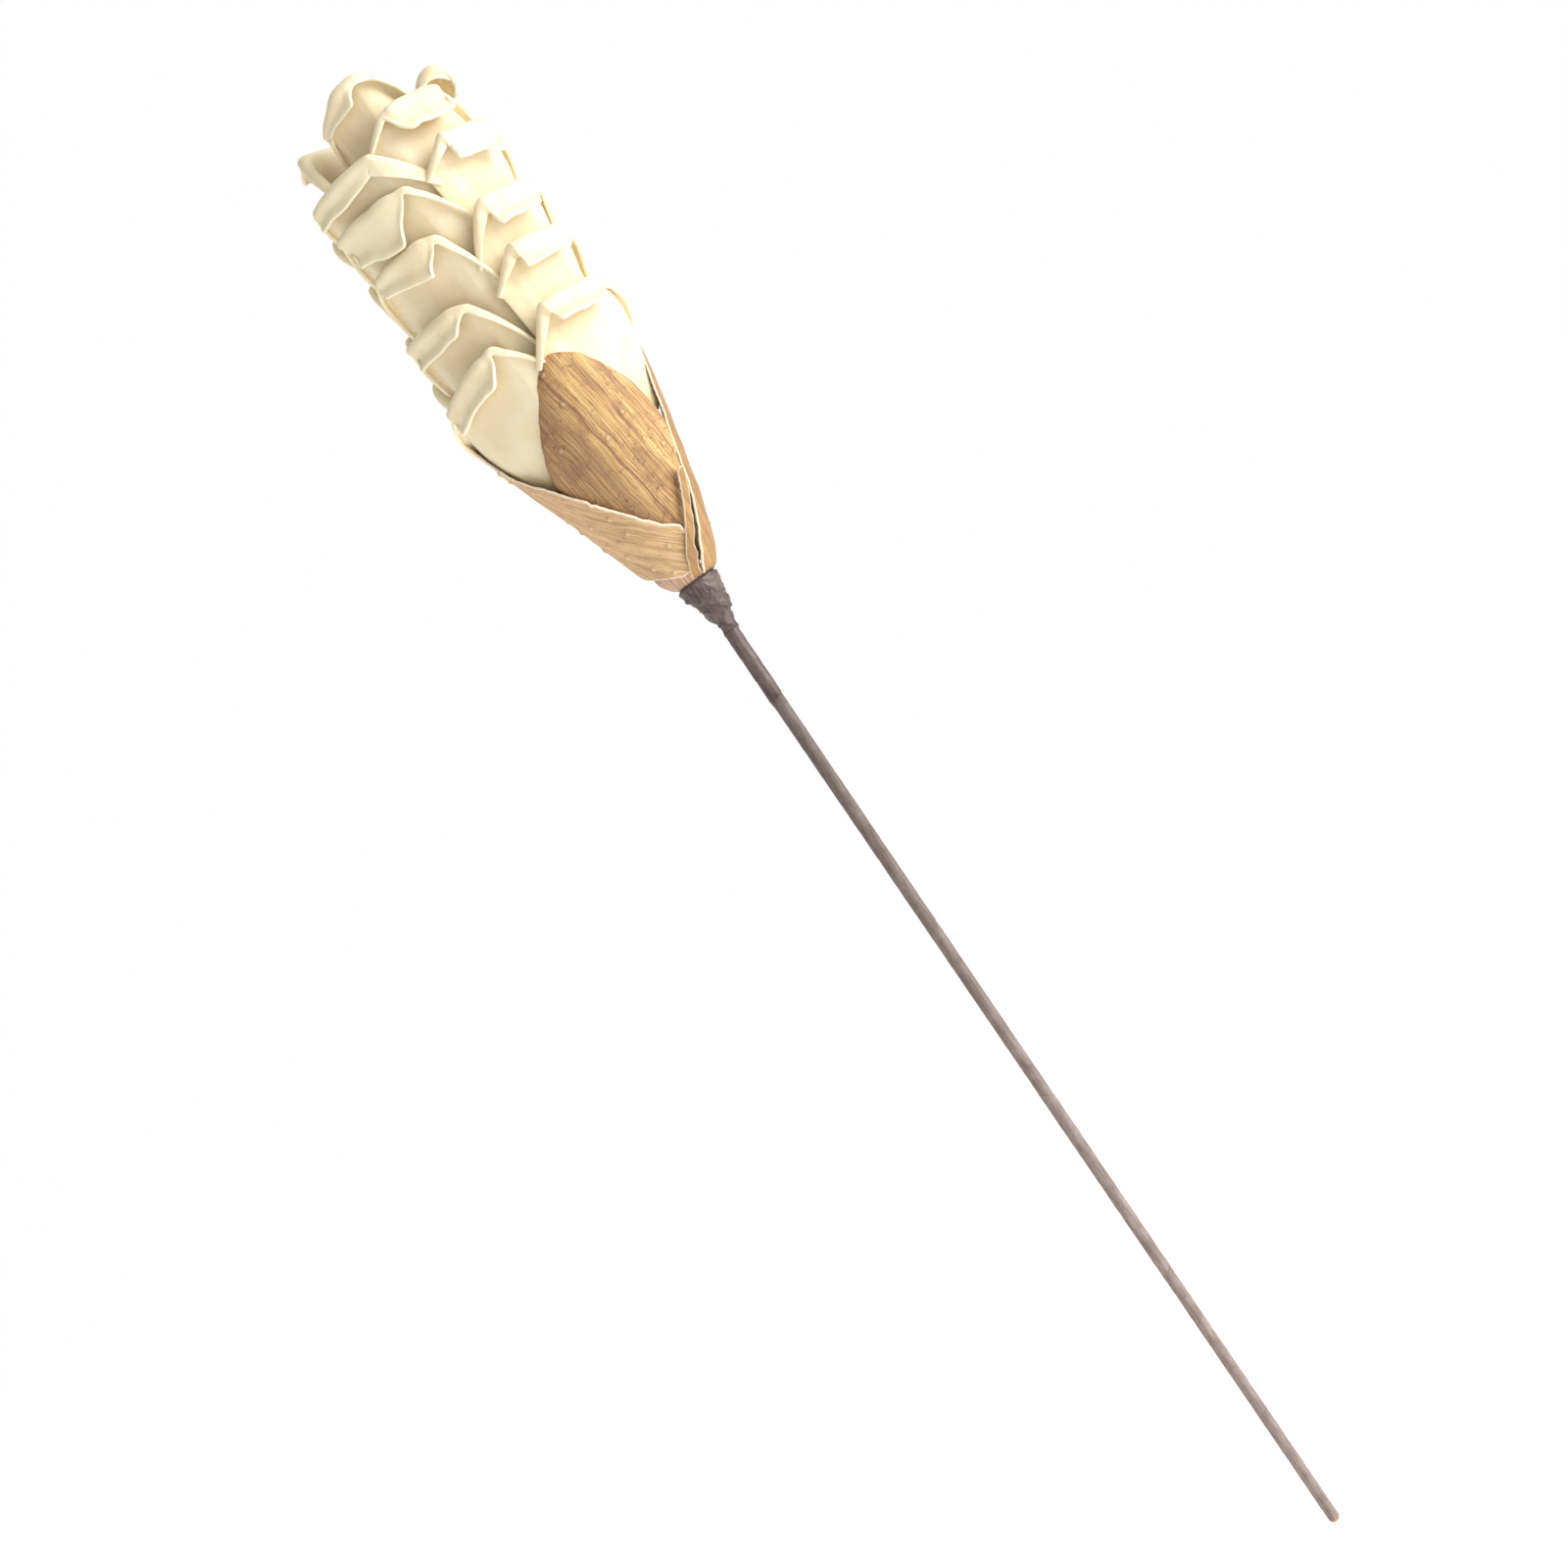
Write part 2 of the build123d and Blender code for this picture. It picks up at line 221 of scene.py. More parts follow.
def grain_group():
    """Long fibres: turns coordinates that run along the fibre in Y into streaks and fine lines."""
    group = bpy.data.node_groups.new("long_fibres", "ShaderNodeTree")
    open_sockets(group, "INPUT", "Vector", "Along Fibre")
    open_sockets(group, "INPUT", "Float", "Fibres", "Length")
    open_sockets(group, "OUTPUT", "Float", "Streaks", "Lines", "Cracks")
    start = group.nodes.new("NodeGroupInput").outputs
    end = group.nodes.new("NodeGroupOutput").inputs
    split = add(group, "ShaderNodeSeparateXYZ", i0=start["Along Fibre"]).outputs
    across = math_of(group, "MULTIPLY", split["X"], start["Fibres"])
    along = math_of(group, "MULTIPLY", split["Y"], start["Length"])
    laid = add(group, "ShaderNodeCombineXYZ", i0=across, i1=along, i2=split["Z"]).outputs[0]
    apart = math_of(group, "SUBTRACT", clouds(group, laid, 0.62, 2.0, 0.5), 0.5)
    thin = remap(group, math_of(group, "ABSOLUTE", apart), 0.0, CRACK_WIDTH, 1.0, 0.0)
    group.links.new(clouds(group, laid, 0.22, 3.0, 0.6), end["Streaks"])
    group.links.new(clouds(group, laid, 1.3, 5.0, 0.7), end["Lines"])
    group.links.new(thin, end["Cracks"])
    return group


long_fibres = grain_group()


def fibres(tree, vector, count, length):
    """Places the fibre group in a material, and gives its outputs."""
    settings = {"node_tree": long_fibres}
    return add(tree, "ShaderNodeGroup", settings, i0=vector, i1=count, i2=length).outputs


def stick_material():
    material, tree, shader = new_material("stick_wood", 0.7)
    place = add(tree, "ShaderNodeTexCoord").outputs["Object"]
    turned = add(tree, "ShaderNodeMapping", Vector=place, Rotation=(math.radians(-90), 0, 0))
    lines = fibres(tree, turned.outputs[0], STICK_FIBRES, STICK_FIBRE_LENGTH)["Lines"]
    colour = ramp(tree, lines, ((0.35, STICK_DARK), (0.65, STICK_LIGHT)))
    tree.links.new(colour, shader.inputs["Base Color"])
    emboss(tree, shader, lines, 0.0001, 0.4)
    return material


def dress(node, material):
    """Gives a CAD node its finish."""
    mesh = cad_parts[node].data
    mesh.materials.clear()
    mesh.materials.append(material)


dress("stem_stick", stick_material())

# ==================================================================== stem tape
# Three strips of crepe paper tape are wound down the stick, each turn lapping the one before.
# The lowest strip is tucked in round the stick's end, and each strip's end shows as a slanting seam.
# Colours are linear. The radii are (height, radius) in millimetres.
STEM_RADII = ((0.0, 2.35), (60.0, 2.35), (450.0, 2.9))
TAPE_WIDTH = 13.0 * MM
TAPE_LAP = 0.09 * MM
TAPE_UNEVEN = 0.12 * MM
TUCK = 1.6 * MM
TAPE_THICKNESS = 0.22 * MM
TAPE_EDGE = 0.06  # the share of a turn over which its edge rises
RIPPLE_ROUND, RIPPLE_SCALE = 4.0 * MM, 150.0
AROUND = 33  # points round the strip
ROW = 0.55 * MM  # and the height of each row of them
MIDDLE_PROUD = 0.07 * MM
STEM_PALE = (0.375, 0.298, 0.262, 1)
STEM_MID = (0.285, 0.216, 0.192, 1)
STEM_DARK = (0.19, 0.135, 0.115, 1)
STEM_DARKER_HEIGHTS, STEM_DARKEST = (0.10, 0.40), 0.46
WELD = 1e-6
FLOAT_ON_POINTS = {"data_type": "FLOAT", "domain": "POINT"}


def tape_tree():
    """Geometry nodes for one strip of wound tape: a sheet rolled round the stick's line."""
    tree = bpy.data.node_groups.new("wound_tape", "GeometryNodeTree")
    open_sockets(tree, "INPUT", "Geometry", "Geometry")
    open_sockets(tree, "INPUT", "Float", "Foot", "Top", "Foot Radius", "Top Radius", "Foot Slant")
    open_sockets(tree, "INPUT", "Float", "Top Slant", "Tape Width", "Lap", "Tuck", "Unevenness", "Seed")
    open_sockets(tree, "INPUT", "Int", "Around", "Along")
    open_sockets(tree, "INPUT", "Material", "Tape")
    open_sockets(tree, "OUTPUT", "Geometry", "Geometry")
    start = tree.nodes.new("NodeGroupInput").outputs
    end = tree.nodes.new("NodeGroupOutput").inputs

    def calc(operation, *values):
        return math_of(tree, operation, *values)

    def between(a, b, share):
        return calc("MULTIPLY_ADD", calc("SUBTRACT", b, a), share, a)

    grid = add(tree, "GeometryNodeMeshGrid", Size_X=1.0, Size_Y=1.0)
    tree.links.new(start["Around"], grid.inputs["Vertices X"])
    tree.links.new(start["Along"], grid.inputs["Vertices Y"])
    spot = add(tree, "ShaderNodeSeparateXYZ", i0=add(tree, "GeometryNodeInputPosition").outputs[0])
    across = calc("ADD", spot.outputs["X"], 0.5)
    rise = calc("ADD", spot.outputs["Y"], 0.5)
    angle = calc("MULTIPLY", across, 2 * math.pi)
    cosine, sine = calc("COSINE", angle), calc("SINE", angle)
    foot = calc("MULTIPLY_ADD", start["Foot Slant"], cosine, start["Foot"])
    top = calc("MULTIPLY_ADD", start["Top Slant"], cosine, start["Top"])
    height = between(foot, top, rise)

    def at_radius(radius):
        x, y = calc("MULTIPLY", radius, cosine), calc("MULTIPLY", radius, sine)
        return add(tree, "ShaderNodeCombineXYZ", i0=x, i1=y, i2=height).outputs[0]

    # Each turn rises at its edge and sinks again under the next one.
    turn = calc("FRACT", calc("ADD", calc("DIVIDE", height, start["Tape Width"]), across))
    edge = remap(tree, turn, 0.0, TAPE_EDGE, 0.0, 1.0)
    lap = calc("MULTIPLY", calc("MULTIPLY", edge, calc("SUBTRACT", 1.0, turn)), start["Lap"])
    bare = between(start["Foot Radius"], start["Top Radius"], rise)
    ripple = add(tree, "ShaderNodeTexNoise", {"noise_dimensions": "4D"}, Scale=RIPPLE_SCALE, Detail=3.0)
    tree.links.new(at_radius(RIPPLE_ROUND), ripple.inputs["Vector"])
    tree.links.new(start["Seed"], ripple.inputs["W"])
    uneven = calc("MULTIPLY", calc("SUBTRACT", ripple.outputs["Fac"], 0.5), start["Unevenness"])
    radius = calc("ADD", calc("ADD", bare, lap), uneven)
    # The end is tucked in along a quarter circle.
    climbed = calc("MINIMUM", calc("DIVIDE", height, calc("MAXIMUM", start["Tuck"], WELD)), 1.0)
    near_end = calc("SUBTRACT", 1.0, climbed)
    squared = calc("SUBTRACT", 1.0, calc("MULTIPLY", near_end, near_end))
    radius = calc("MULTIPLY", radius, calc("SQRT", calc("MAXIMUM", squared, 0.0004)))

    rolled = add(tree, "GeometryNodeSetPosition", Geometry=grid.outputs["Mesh"], Position=at_radius(radius))
    # The turn's edge is kept, for the painted shade under each lap.
    marked = add(tree, "GeometryNodeStoreNamedAttribute", FLOAT_ON_POINTS, Geometry=rolled.outputs[0],
                 Name="turn_edge", Value=calc("SUBTRACT", 1.0, edge))
    closed = add(tree, "GeometryNodeMergeByDistance", Geometry=marked.outputs[0], Distance=WELD)
    smooth = add(tree, "GeometryNodeSetShadeSmooth", Geometry=closed.outputs[0])
    real = add(tree, "GeometryNodeRealizeInstances", Geometry=smooth.outputs[0])
    painted = add(tree, "GeometryNodeSetMaterial", Geometry=real.outputs[0], Material=start["Tape"])
    tree.links.new(painted.outputs[0], end["Geometry"])
    return tree


wound_tape = tape_tree()


def grown(name, tree, material, mesh=None, **values):
    """Runs a geometry node tree with its named inputs set, and keeps the result as a plain mesh."""
    seed = bpy.data.objects.new(name + "_seed", mesh or bpy.data.meshes.new(name + "_seed"))
    bpy.context.collection.objects.link(seed)
    modifier = seed.modifiers.new("grow", "NODES")
    modifier.node_group = tree
    for item in tree.interface.items_tree:
        key = item.name.replace(" ", "_")
        if item.in_out == "INPUT" and key in values:
            modifier[item.identifier] = values[key]
        if item.in_out == "INPUT" and item.socket_type == "NodeSocketMaterial":
            modifier[item.identifier] = material
    bpy.context.view_layer.update()
    result = bpy.data.meshes.new_from_object(seed.evaluated_get(bpy.context.evaluated_depsgraph_get()))
    seed.modifiers.remove(modifier)
    bpy.data.objects.remove(seed)
    result.name = name
    piece = bpy.data.objects.new(name, result)
    bpy.context.collection.objects.link(piece)
    return piece


def face_outwards(piece):
    """Turns a round piece's faces so that they point away from the stick's line."""
    outward = 0.0
    for face in piece.data.polygons:
        outward += face.area * (face.normal.x * face.center.x + face.normal.y * face.center.y)
    if outward < 0:
        piece.data.flip_normals()


def walled(piece, thickness, offset=-1.0, levels=0, even=True):
    """Gives a sheet its thickness, and rounds it with subdivision."""
    wall = piece.modifiers.new("wall", "SOLIDIFY")
    wall.thickness = thickness
    wall.offset = offset
    wall.use_even_offset = even
    if levels:
        finer = piece.modifiers.new("finer", "SUBSURF")
        finer.levels = finer.render_levels = levels


def blend(tree, share, first, second, kind="MIX"):
    """Mixes two colours. They are the Mix node's seventh and eighth inputs."""
    settings = {"data_type": "RGBA", "blend_type": kind}
    return add(tree, "ShaderNodeMix", settings, i0=share, i6=first, i7=second).outputs[2]


def painted_value(tree, name):
    """A value that was stored on the mesh."""
    return add(tree, "ShaderNodeAttribute", {"attribute_name": name}).outputs["Fac"]


def tape_material(name, pale, mid, dark, roughness, darker_heights=(0.0, 1.0), darkest=1.0, seam=0.28, grit=0.5):
    """Crepe paper tape: fine crosswise wrinkles, blotches of wax, and a dark line of painted shade along
    each lap.
    """
    material, tree, shader = new_material(name, roughness)
    place = add(tree, "ShaderNodeTexCoord").outputs["Object"]
    drawn = add(tree, "ShaderNodeMapping", Vector=place, Scale=(1.0, 1.0, 0.12)).outputs[0]
    mixed = math_of(tree, "ADD", clouds(tree, place, 130.0, 4.0, 0.65), clouds(tree, drawn, 900.0, 3.0))
    share = math_of(tree, "MULTIPLY", mixed, 0.5)
    colour = ramp(tree, share, ((0.36, dark), (0.5, mid), (0.64, pale)))
    # Painted shade: a dark line under each lap's edge.
    line = math_of(tree, "MULTIPLY", painted_value(tree, "turn_edge"), seam)
    colour = blend(tree, line, colour, dark)
    # The tape is darker between two heights, more and more towards the upper one.
    height = add(tree, "ShaderNodeSeparateXYZ", i0=place).outputs["Z"]
    colour = blend(tree, 1.0, colour, remap(tree, height, *darker_heights, 1.0, darkest), "MULTIPLY")
    tree.links.new(colour, shader.inputs["Base Color"])
    emboss(tree, shader, clouds(tree, place, 2600.0, 4.0, 0.7), 0.00012, grit)
    return material


def follow(pairs, at):
    """Reads a list of (place, value) pairs at other places, straight between its own."""
    places, values = zip(*pairs)
    return np.interp(at, places, values)


def stem_radius(height):
    """Outside radius of the taped stick, in metres, at a height in metres."""
    return float(follow(STEM_RADII, height / MM)) * MM


def tape_strip(name, foot, top, material, slot, proud=0.0, **shape):
    """One wound strip of tape that stands for the CAD node of its name."""
    usual = dict(Tape_Width=TAPE_WIDTH, Lap=TAPE_LAP, Unevenness=TAPE_UNEVEN)
    usual.update(Foot_Slant=0.0, Top_Slant=0.0, Tuck=0.0)
    radii = dict(Foot_Radius=stem_radius(foot) + proud, Top_Radius=stem_radius(top) + proud)
    along = int((top - foot) / ROW)
    sizes = {**usual, **radii, "Foot": foot, "Top": top, "Around": AROUND, "Along": along, **shape}
    piece = grown(name + "_wound", wound_tape, material, **sizes)
    face_outwards(piece)
    walled(piece, TAPE_THICKNESS)
    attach(piece, "root")
    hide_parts(name)


stem_tape = tape_material(
    "stem_tape_paper", STEM_PALE, STEM_MID, STEM_DARK, 0.62, darker_heights=STEM_DARKER_HEIGHTS, darkest=STEM_DARKEST
)
lower_top, middle_top, upper_top = (
    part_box("stem_tape_" + place)[1].z for place in ("lower", "middle", "upper")
)
lower = dict(Top_Slant=2.0 * MM, Tuck=TUCK, Seed=1.0)
middle = dict(Foot_Slant=2.2 * MM, Top_Slant=-2.0 * MM, Seed=2.0)
upper = dict(Foot_Slant=-2.0 * MM, Seed=3.0)
tape_strip("stem_tape_lower", 0.0, lower_top, stem_tape, "stem_tape", **lower)
tape_strip("stem_tape_middle", lower_top, middle_top, stem_tape, "stem_tape", proud=MIDDLE_PROUD, **middle)
tape_strip("stem_tape_upper", middle_top, upper_top, stem_tape, "stem_tape", **upper)

# ==================================================================== neck tape
# Dark waxed tape is wound twice round the top of the stick, then over the gathered bracts' feet.
# The wide turns over the feet crumple into a bulb, with two slanting edges and a pinched hole.
NECK_PALE = (0.150, 0.108, 0.098, 1)
NECK_MID = (0.098, 0.069, 0.063, 1)
NECK_DARK = (0.045, 0.030, 0.026, 1)
NECK_LAP_SHADE, NECK_GRIT = 0.7, 0.2
SLEEVE_PROUD = 0.28 * MM
BULB_LENGTH = 23.0
BULB_PROFILE = (
    (-24.5, 3.25), (-20.0, 3.55), (-15.0, 4.75), (-10.0, 6.0), (-5.0, 7.1), (0.0, 7.5), (1.2, 6.6),
)
# Each edge of tape has its height, how far it slants up and down, how far it stands out, and how sharply.
UPPER_EDGE, UPPER_EDGE_TILT, UPPER_STEP, UPPER_SHARPNESS = -10.0, 5.4, 1.2, 0.16
LOWER_EDGE, LOWER_EDGE_TILT, LOWER_STEP, LOWER_SHARPNESS = -20.2, 3.0, 0.45, 0.14
EDGE_FACING = math.radians(75)  # where both edges lie lowest
PINCH_AZIMUTH, PINCH_HEIGHT = math.radians(12), -5.2
PINCH_ROUND = 7.0  # millimetres for each radian, there
SWELL, SWELL_SIZE = 0.45, 5.5
CREASE, CREASE_SIZE, CREASE_PULL = 0.5, 3.6, 0.62
BULB_GRID = (110, 120)
BULB_WALL = 0.3 * MM

sleeve_foot, sleeve_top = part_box("neck_sleeve")[0].z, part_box("neck_sleeve")[1].z
neck_tape = tape_material(
    "neck_tape_paper", NECK_PALE, NECK_MID, NECK_DARK, 0.42, seam=NECK_LAP_SHADE, grit=NECK_GRIT
)
wound = dict(Lap=0.16 * MM, Tape_Width=10.5 * MM, Foot_Slant=1.8 * MM, Seed=4.0, Unevenness=0.2 * MM)
tape_strip("neck_sleeve", sleeve_foot, sleeve_top, neck_tape, "neck_tape", proud=SLEEVE_PROUD, **wound)

pivot = Vector((0, 0, sleeve_top))
bud_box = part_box("tip_bud")
toward = (bud_box[0] + bud_box[1]) / 2 - pivot
head_lean = math.atan2(-toward.x, toward.z)
head_place = (
    Matrix.Translation(pivot)
    @ Matrix.Rotation(-head_lean, 4, "Y")
    @ Matrix.Translation((0, 0, BULB_LENGTH * MM))
    @ Matrix.Scale(MM, 4)
)


def step_at(x, width):
    """A smooth step from 0 to 1 at x = 0."""
    return 1 / (1 + np.exp(-np.clip(x / width, -40, 40)))


def wobble(points, size, seed):
    """Smooth noise, between about -1 and 1, at each of an array of places in millimetres."""
    points = np.asarray(points)
    shift = Vector((seed * 7.31, seed * 3.17, seed * 5.77))
    values = [noise.noise(Vector(p) / size + shift) for p in points.reshape(-1, 3)]
    return np.array(values).reshape(points.shape[:-1])


def line_of(*values):
    """Stacks x, y and z, each a value or an array, into places."""
    return np.stack(np.broadcast_arrays(*values), axis=-1)


def grid_mesh(name, places, closed=False, attributes=None, uv=None):
    """A mesh from a rows x columns x 3 array of places in the flower's own millimetres."""
    rows, columns = places.shape[:2]
    mesh = bpy.data.meshes.new(name)
    vertices = [head_place @ Vector(p) for p in places.reshape(-1, 3)]
    faces = []
    for row in range(rows - 1):
        for column in range(columns if closed else columns - 1):
            after = (column + 1) % columns
            near, far = row * columns, (row + 1) * columns
            faces.append((near + column, near + after, far + after, far + column))
    mesh.from_pydata(vertices, [], faces)
    for key, values in (attributes or {}).items():
        stored = mesh.attributes.new(key, "FLOAT", "POINT")
        stored.data.foreach_set("value", values.reshape(-1).astype(np.float32))
    if uv is not None:
        layer = mesh.uv_layers.new(name="fibre")
        flat = uv.reshape(-1, 2)
        for loop in mesh.loops:
            layer.data[loop.index].uv = flat[loop.vertex_index]
    mesh.polygons.foreach_set("use_smooth", [True] * len(mesh.polygons))
    piece = bpy.data.objects.new(name, mesh)
    bpy.context.collection.objects.link(piece)
    return piece


# The flower grew a little crooked: (height, how far its middle lies to the right).
SWAY = ((-25.0, 0.3), (0.0, 0.4), (20.0, 0.3), (70.0, 0.3), (110.0, 0.2), (150.0, 1.0), (240.0, 1.0))


def around(azimuth, radius, height):
    """Places round the flower's own line, from azimuths, radii and heights."""
    middle = follow(SWAY, height)
    return line_of(middle + radius * np.sin(azimuth), -radius * np.cos(azimuth), height)


def bump_at(distance, width):
    """A smooth bump of height 1 at distance 0."""
    return np.exp(-((distance / width) ** 2))


def bulb_piece():
    rows, columns = BULB_GRID
    azimuth = np.linspace(0, 2 * np.pi, columns, endpoint=False)[None, :] + np.zeros((rows, 1))
    height = np.linspace(BULB_PROFILE[0][0], BULB_PROFILE[-1][0], rows)[:, None] + np.zeros((1, columns))
    plain = follow(BULB_PROFILE, height)
    side = np.cos(azimuth - EDGE_FACING)
    above_upper = height - (UPPER_EDGE - UPPER_EDGE_TILT * side)
    above_lower = height - (LOWER_EDGE - LOWER_EDGE_TILT * side)
    steps = UPPER_STEP * step_at(above_upper, UPPER_SHARPNESS)
    steps = steps + LOWER_STEP * step_at(above_lower, LOWER_SHARPNESS)
    flat = around(azimuth, plain, height)
    soft = wobble(flat, SWELL_SIZE, 3)
    # Creases run slanting, in the direction in which the tape was pulled.
    x, y, z = flat[..., 0], flat[..., 1], flat[..., 2]
    pulled = line_of(0.5 * x, 0.5 * y, z + CREASE_PULL * x)
    crease = 1 - 2 * np.abs(wobble(pulled, CREASE_SIZE, 5))
    radius = plain - LOWER_STEP + steps + SWELL * soft + CREASE * crease**3
    # The pinched hole, with folds that run into it.
    pinch_x, pinch_z = (azimuth - PINCH_AZIMUTH) * PINCH_ROUND, height - PINCH_HEIGHT
    off = np.hypot(pinch_x, pinch_z)
    rays = np.cos(5 * np.arctan2(pinch_z, pinch_x))
    radius = radius - 0.8 * bump_at(off, 0.55) + 0.13 * rays * bump_at(off - 1.3, 0.9)
    # Painted shade: dark lines under the two edges of tape, and in the pinched hole.
    edge = bump_at(above_upper, 0.5) + bump_at(above_lower, 0.4) + bump_at(off, 0.5)
    places = around(azimuth, radius, height)
    return grid_mesh("neck_bulb_crumpled", places, closed=True, attributes={"turn_edge": edge})


bulb = bulb_piece()
bulb.data.materials.append(neck_tape)
walled(bulb, BULB_WALL)
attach(bulb, "root")
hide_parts("neck_bulb")

# ==================================================================== binding wire
# Three turns of green lacquered florist's wire clamp the bracts' feet under the bulb of tape.
# They are sealed in, so the CAD rings stay and only get their lacquer.
LACQUER = (0.05, 0.11, 0.05, 1)
LACQUER_DARK = (0.02, 0.05, 0.02, 1)


def wire_material():
    material, tree, shader = new_material("wire_lacquer", 0.35)
    place = add(tree, "ShaderNodeTexCoord").outputs["Object"]
    colour = ramp(tree, clouds(tree, place, 900.0, 3.0), ((0.4, LACQUER_DARK), (0.7, LACQUER)))
    tree.links.new(colour, shader.inputs["Base Color"])
    return material


dress("binding_wire", wire_material())

# ==================================================================== core
# The petals are glued to a light core of open pith, pushed down over the stick.
# Its tip shows between the topmost petals, and its flank low down where two bracts part.
PITH = (0.80, 0.69, 0.47, 1)
PITH_DEEP = (0.62, 0.49, 0.30, 1)


def core_material():
    material, tree, shader = new_material("core_pith", 0.9)
    place = add(tree, "ShaderNodeTexCoord").outputs["Object"]
    cells = add(tree, "ShaderNodeTexVoronoi", Vector=place, Scale=900.0).outputs["Distance"]
    colour = ramp(tree, cells, ((0.1, PITH_DEEP), (0.6, PITH)))
    tree.links.new(colour, shader.inputs["Base Color"])
    emboss(tree, shader, cells, 0.0004, 0.6)
    return material


dress("head_core", core_material())

# ==================================================================== bracts
# Dried palm bracts, tan and grained along their length, stand in two layers round the flower's foot.
# Their rims are torn and pale, and small blisters stand on the faces.
CUP = (
    (-12.0, 4.9), (-5.0, 4.9), (0.0, 7.4), (2.5, 11.6), (5.0, 13.3), (8.0, 15.4), (16.0, 19.1),
    (30.0, 24.5), (47.0, 29.9), (62.0, 33.9), (78.0, 37.4), (95.0, 40.6), (112.0, 42.8),
)
BRACT = 0.8  # a bract's thickness
LAYER = 1.3  # from one layer of bracts to the next
TAN = {"pale": (0.72, 0.49, 0.255, 1), "mid": (0.61, 0.39, 0.19, 1), "dark": (0.40, 0.23, 0.11, 1)}
GOLDEN = {"pale": (0.70, 0.47, 0.18, 1), "mid": (0.49, 0.29, 0.11, 1), "dark": (0.24, 0.115, 0.05, 1)}
SHADED = {"pale": (0.45, 0.265, 0.098, 1), "mid": (0.365, 0.2, 0.07, 1), "dark": (0.25, 0.13, 0.055, 1)}
PINKISH = {"pale": (0.64, 0.43, 0.30, 1), "mid": (0.54, 0.345, 0.225, 1), "dark": (0.36, 0.21, 0.13, 1)}
PURPLE_BROWN = (0.20, 0.088, 0.055, 1)
TORN = (0.86, 0.75, 0.56, 1)
NOWHERE = (-200.0, -190.0)  # for a bract with no brown side
BRACT_GRID = (150, 90)
RIB_STRETCH = np.array((1.0, 0.05, 1.0))
WAVE, WAVE_SIZE = 0.35, 16.0
RIB, RIB_SIZE = 0.10, 1.6
LIFT_REACH, CUT_REACH = 2.5, 14.0
BLISTER_GAP, BLISTER_RADIUS, BLISTER_HEIGHT = 5.0 * MM, 1.8 * MM, 0.7 * MM


def ease(x):
    x = np.clip(x, 0, 1)
    return x * x * (3 - 2 * x)


def cup_radius(height):
    return follow(CUP, height)


def bent(tree, vector, reach, scale, detail):
    """Coordinates pushed about by soft noise, up to a reach along each axis."""
    drift = add(tree, "ShaderNodeTexNoise", Vector=vector, Scale=scale, Detail=detail).outputs["Color"]
    settings = {"operation": "MULTIPLY_ADD"}
    return add(tree, "ShaderNodeVectorMath", settings, i0=drift, i1=reach, i2=vector).outputs[0]


def bract_material(name, tones, skew, seed, stain, brown=NOWHERE, split=None, crazing=0.0):
    """Dried leaf: streaks and cracks along the fibre, brown stains, crazing and a pale torn rim."""
    material, tree, shader = new_material(name, 0.58)
    dark = tones["dark"]
    uv = add(tree, "ShaderNodeUVMap", {"uv_map": "fibre"}).outputs[0]
    laid = dict(Vector=uv, Rotation=(0, 0, -math.radians(skew)), Location=(seed, seed, seed))
    turned = add(tree, "ShaderNodeMapping", **laid).outputs[0]
    # The fibres wander a little, so the coordinates are bent before they are drawn out.
    wandered = bent(tree, turned, (3.0, 0, 0), 0.06, 1.0)
    leaf = fibres(tree, wandered, 1.3, 0.04)
    calm = math_of(tree, "MULTIPLY", leaf["Streaks"], 0.5)
    streaky = math_of(tree, "MULTIPLY_ADD", leaf["Lines"], 0.9, calm)
    share = math_of(tree, "SUBTRACT", streaky, 0.2)
    colour = ramp(tree, share, ((0.36, dark), (0.5, tones["mid"]), (0.62, tones["pale"])))
    blots = clouds(tree, turned, 0.075, 4.0, 0.6)
    colour = blend(tree, remap(tree, blots, 0.5, 0.68, 0.0, stain), colour, dark)
    colour = blend(tree, math_of(tree, "MULTIPLY", leaf["Cracks"], 0.6), colour, dark)
    # One side has gone brown in broad streaks, up to a long split beside it.
    across = add(tree, "ShaderNodeSeparateXYZ", i0=wandered).outputs["X"]
    one_side = remap(tree, across, *brown, 1.0, 0.0)
    streaked = remap(tree, leaf["Streaks"], 0.38, 0.62, 0.08, 0.62, "LINEAR")
    colour = blend(tree, math_of(tree, "MULTIPLY", one_side, streaked), colour, PURPLE_BROWN)
    # Crazing: short squiggly cracks, in patches.
    knotted = bent(tree, turned, (5.0, 5.0, 0), 0.35, 2.0)
    cells = add(tree, "ShaderNodeTexVoronoi", {"feature": "DISTANCE_TO_EDGE"}, Vector=knotted, Scale=0.2)
    hair = remap(tree, cells.outputs["Distance"], 0.008, 0.035, 1.0, 0.0)
    inside = remap(tree, clouds(tree, turned, 0.13, 3.0, 0.7), 0.47, 0.56, 0.0, crazing)
    colour = blend(tree, math_of(tree, "MULTIPLY", hair, inside), colour, PURPLE_BROWN)
    if split:
        off = math_of(tree, "ABSOLUTE", math_of(tree, "SUBTRACT", across, split))
        colour = blend(tree, remap(tree, off, 0.16, 0.5, 0.95, 0.0), colour, PURPLE_BROWN)
    # Each blister has a dark ring of painted shade, and a pale tip that is partly its own lighter colour
    # and partly a painted highlight.
    raised = painted_value(tree, "blister")
    ring = ramp(tree, raised, ((0.0, (0, 0, 0, 1)), (0.12, (0.45, 0.45, 0.45, 1)), (0.4, (0, 0, 0, 1))))
    colour = blend(tree, ring, colour, dark)
    colour = blend(tree, remap(tree, raised, 0.35, 0.9, 0.0, 0.5, "LINEAR"), colour, TORN)
    colour = blend(tree, painted_value(tree, "rim"), colour, TORN)
    tree.links.new(colour, shader.inputs["Base Color"])
    emboss(tree, shader, math_of(tree, "SUBTRACT", leaf["Lines"], leaf["Cracks"]), 0.0003, 0.6)
    return material


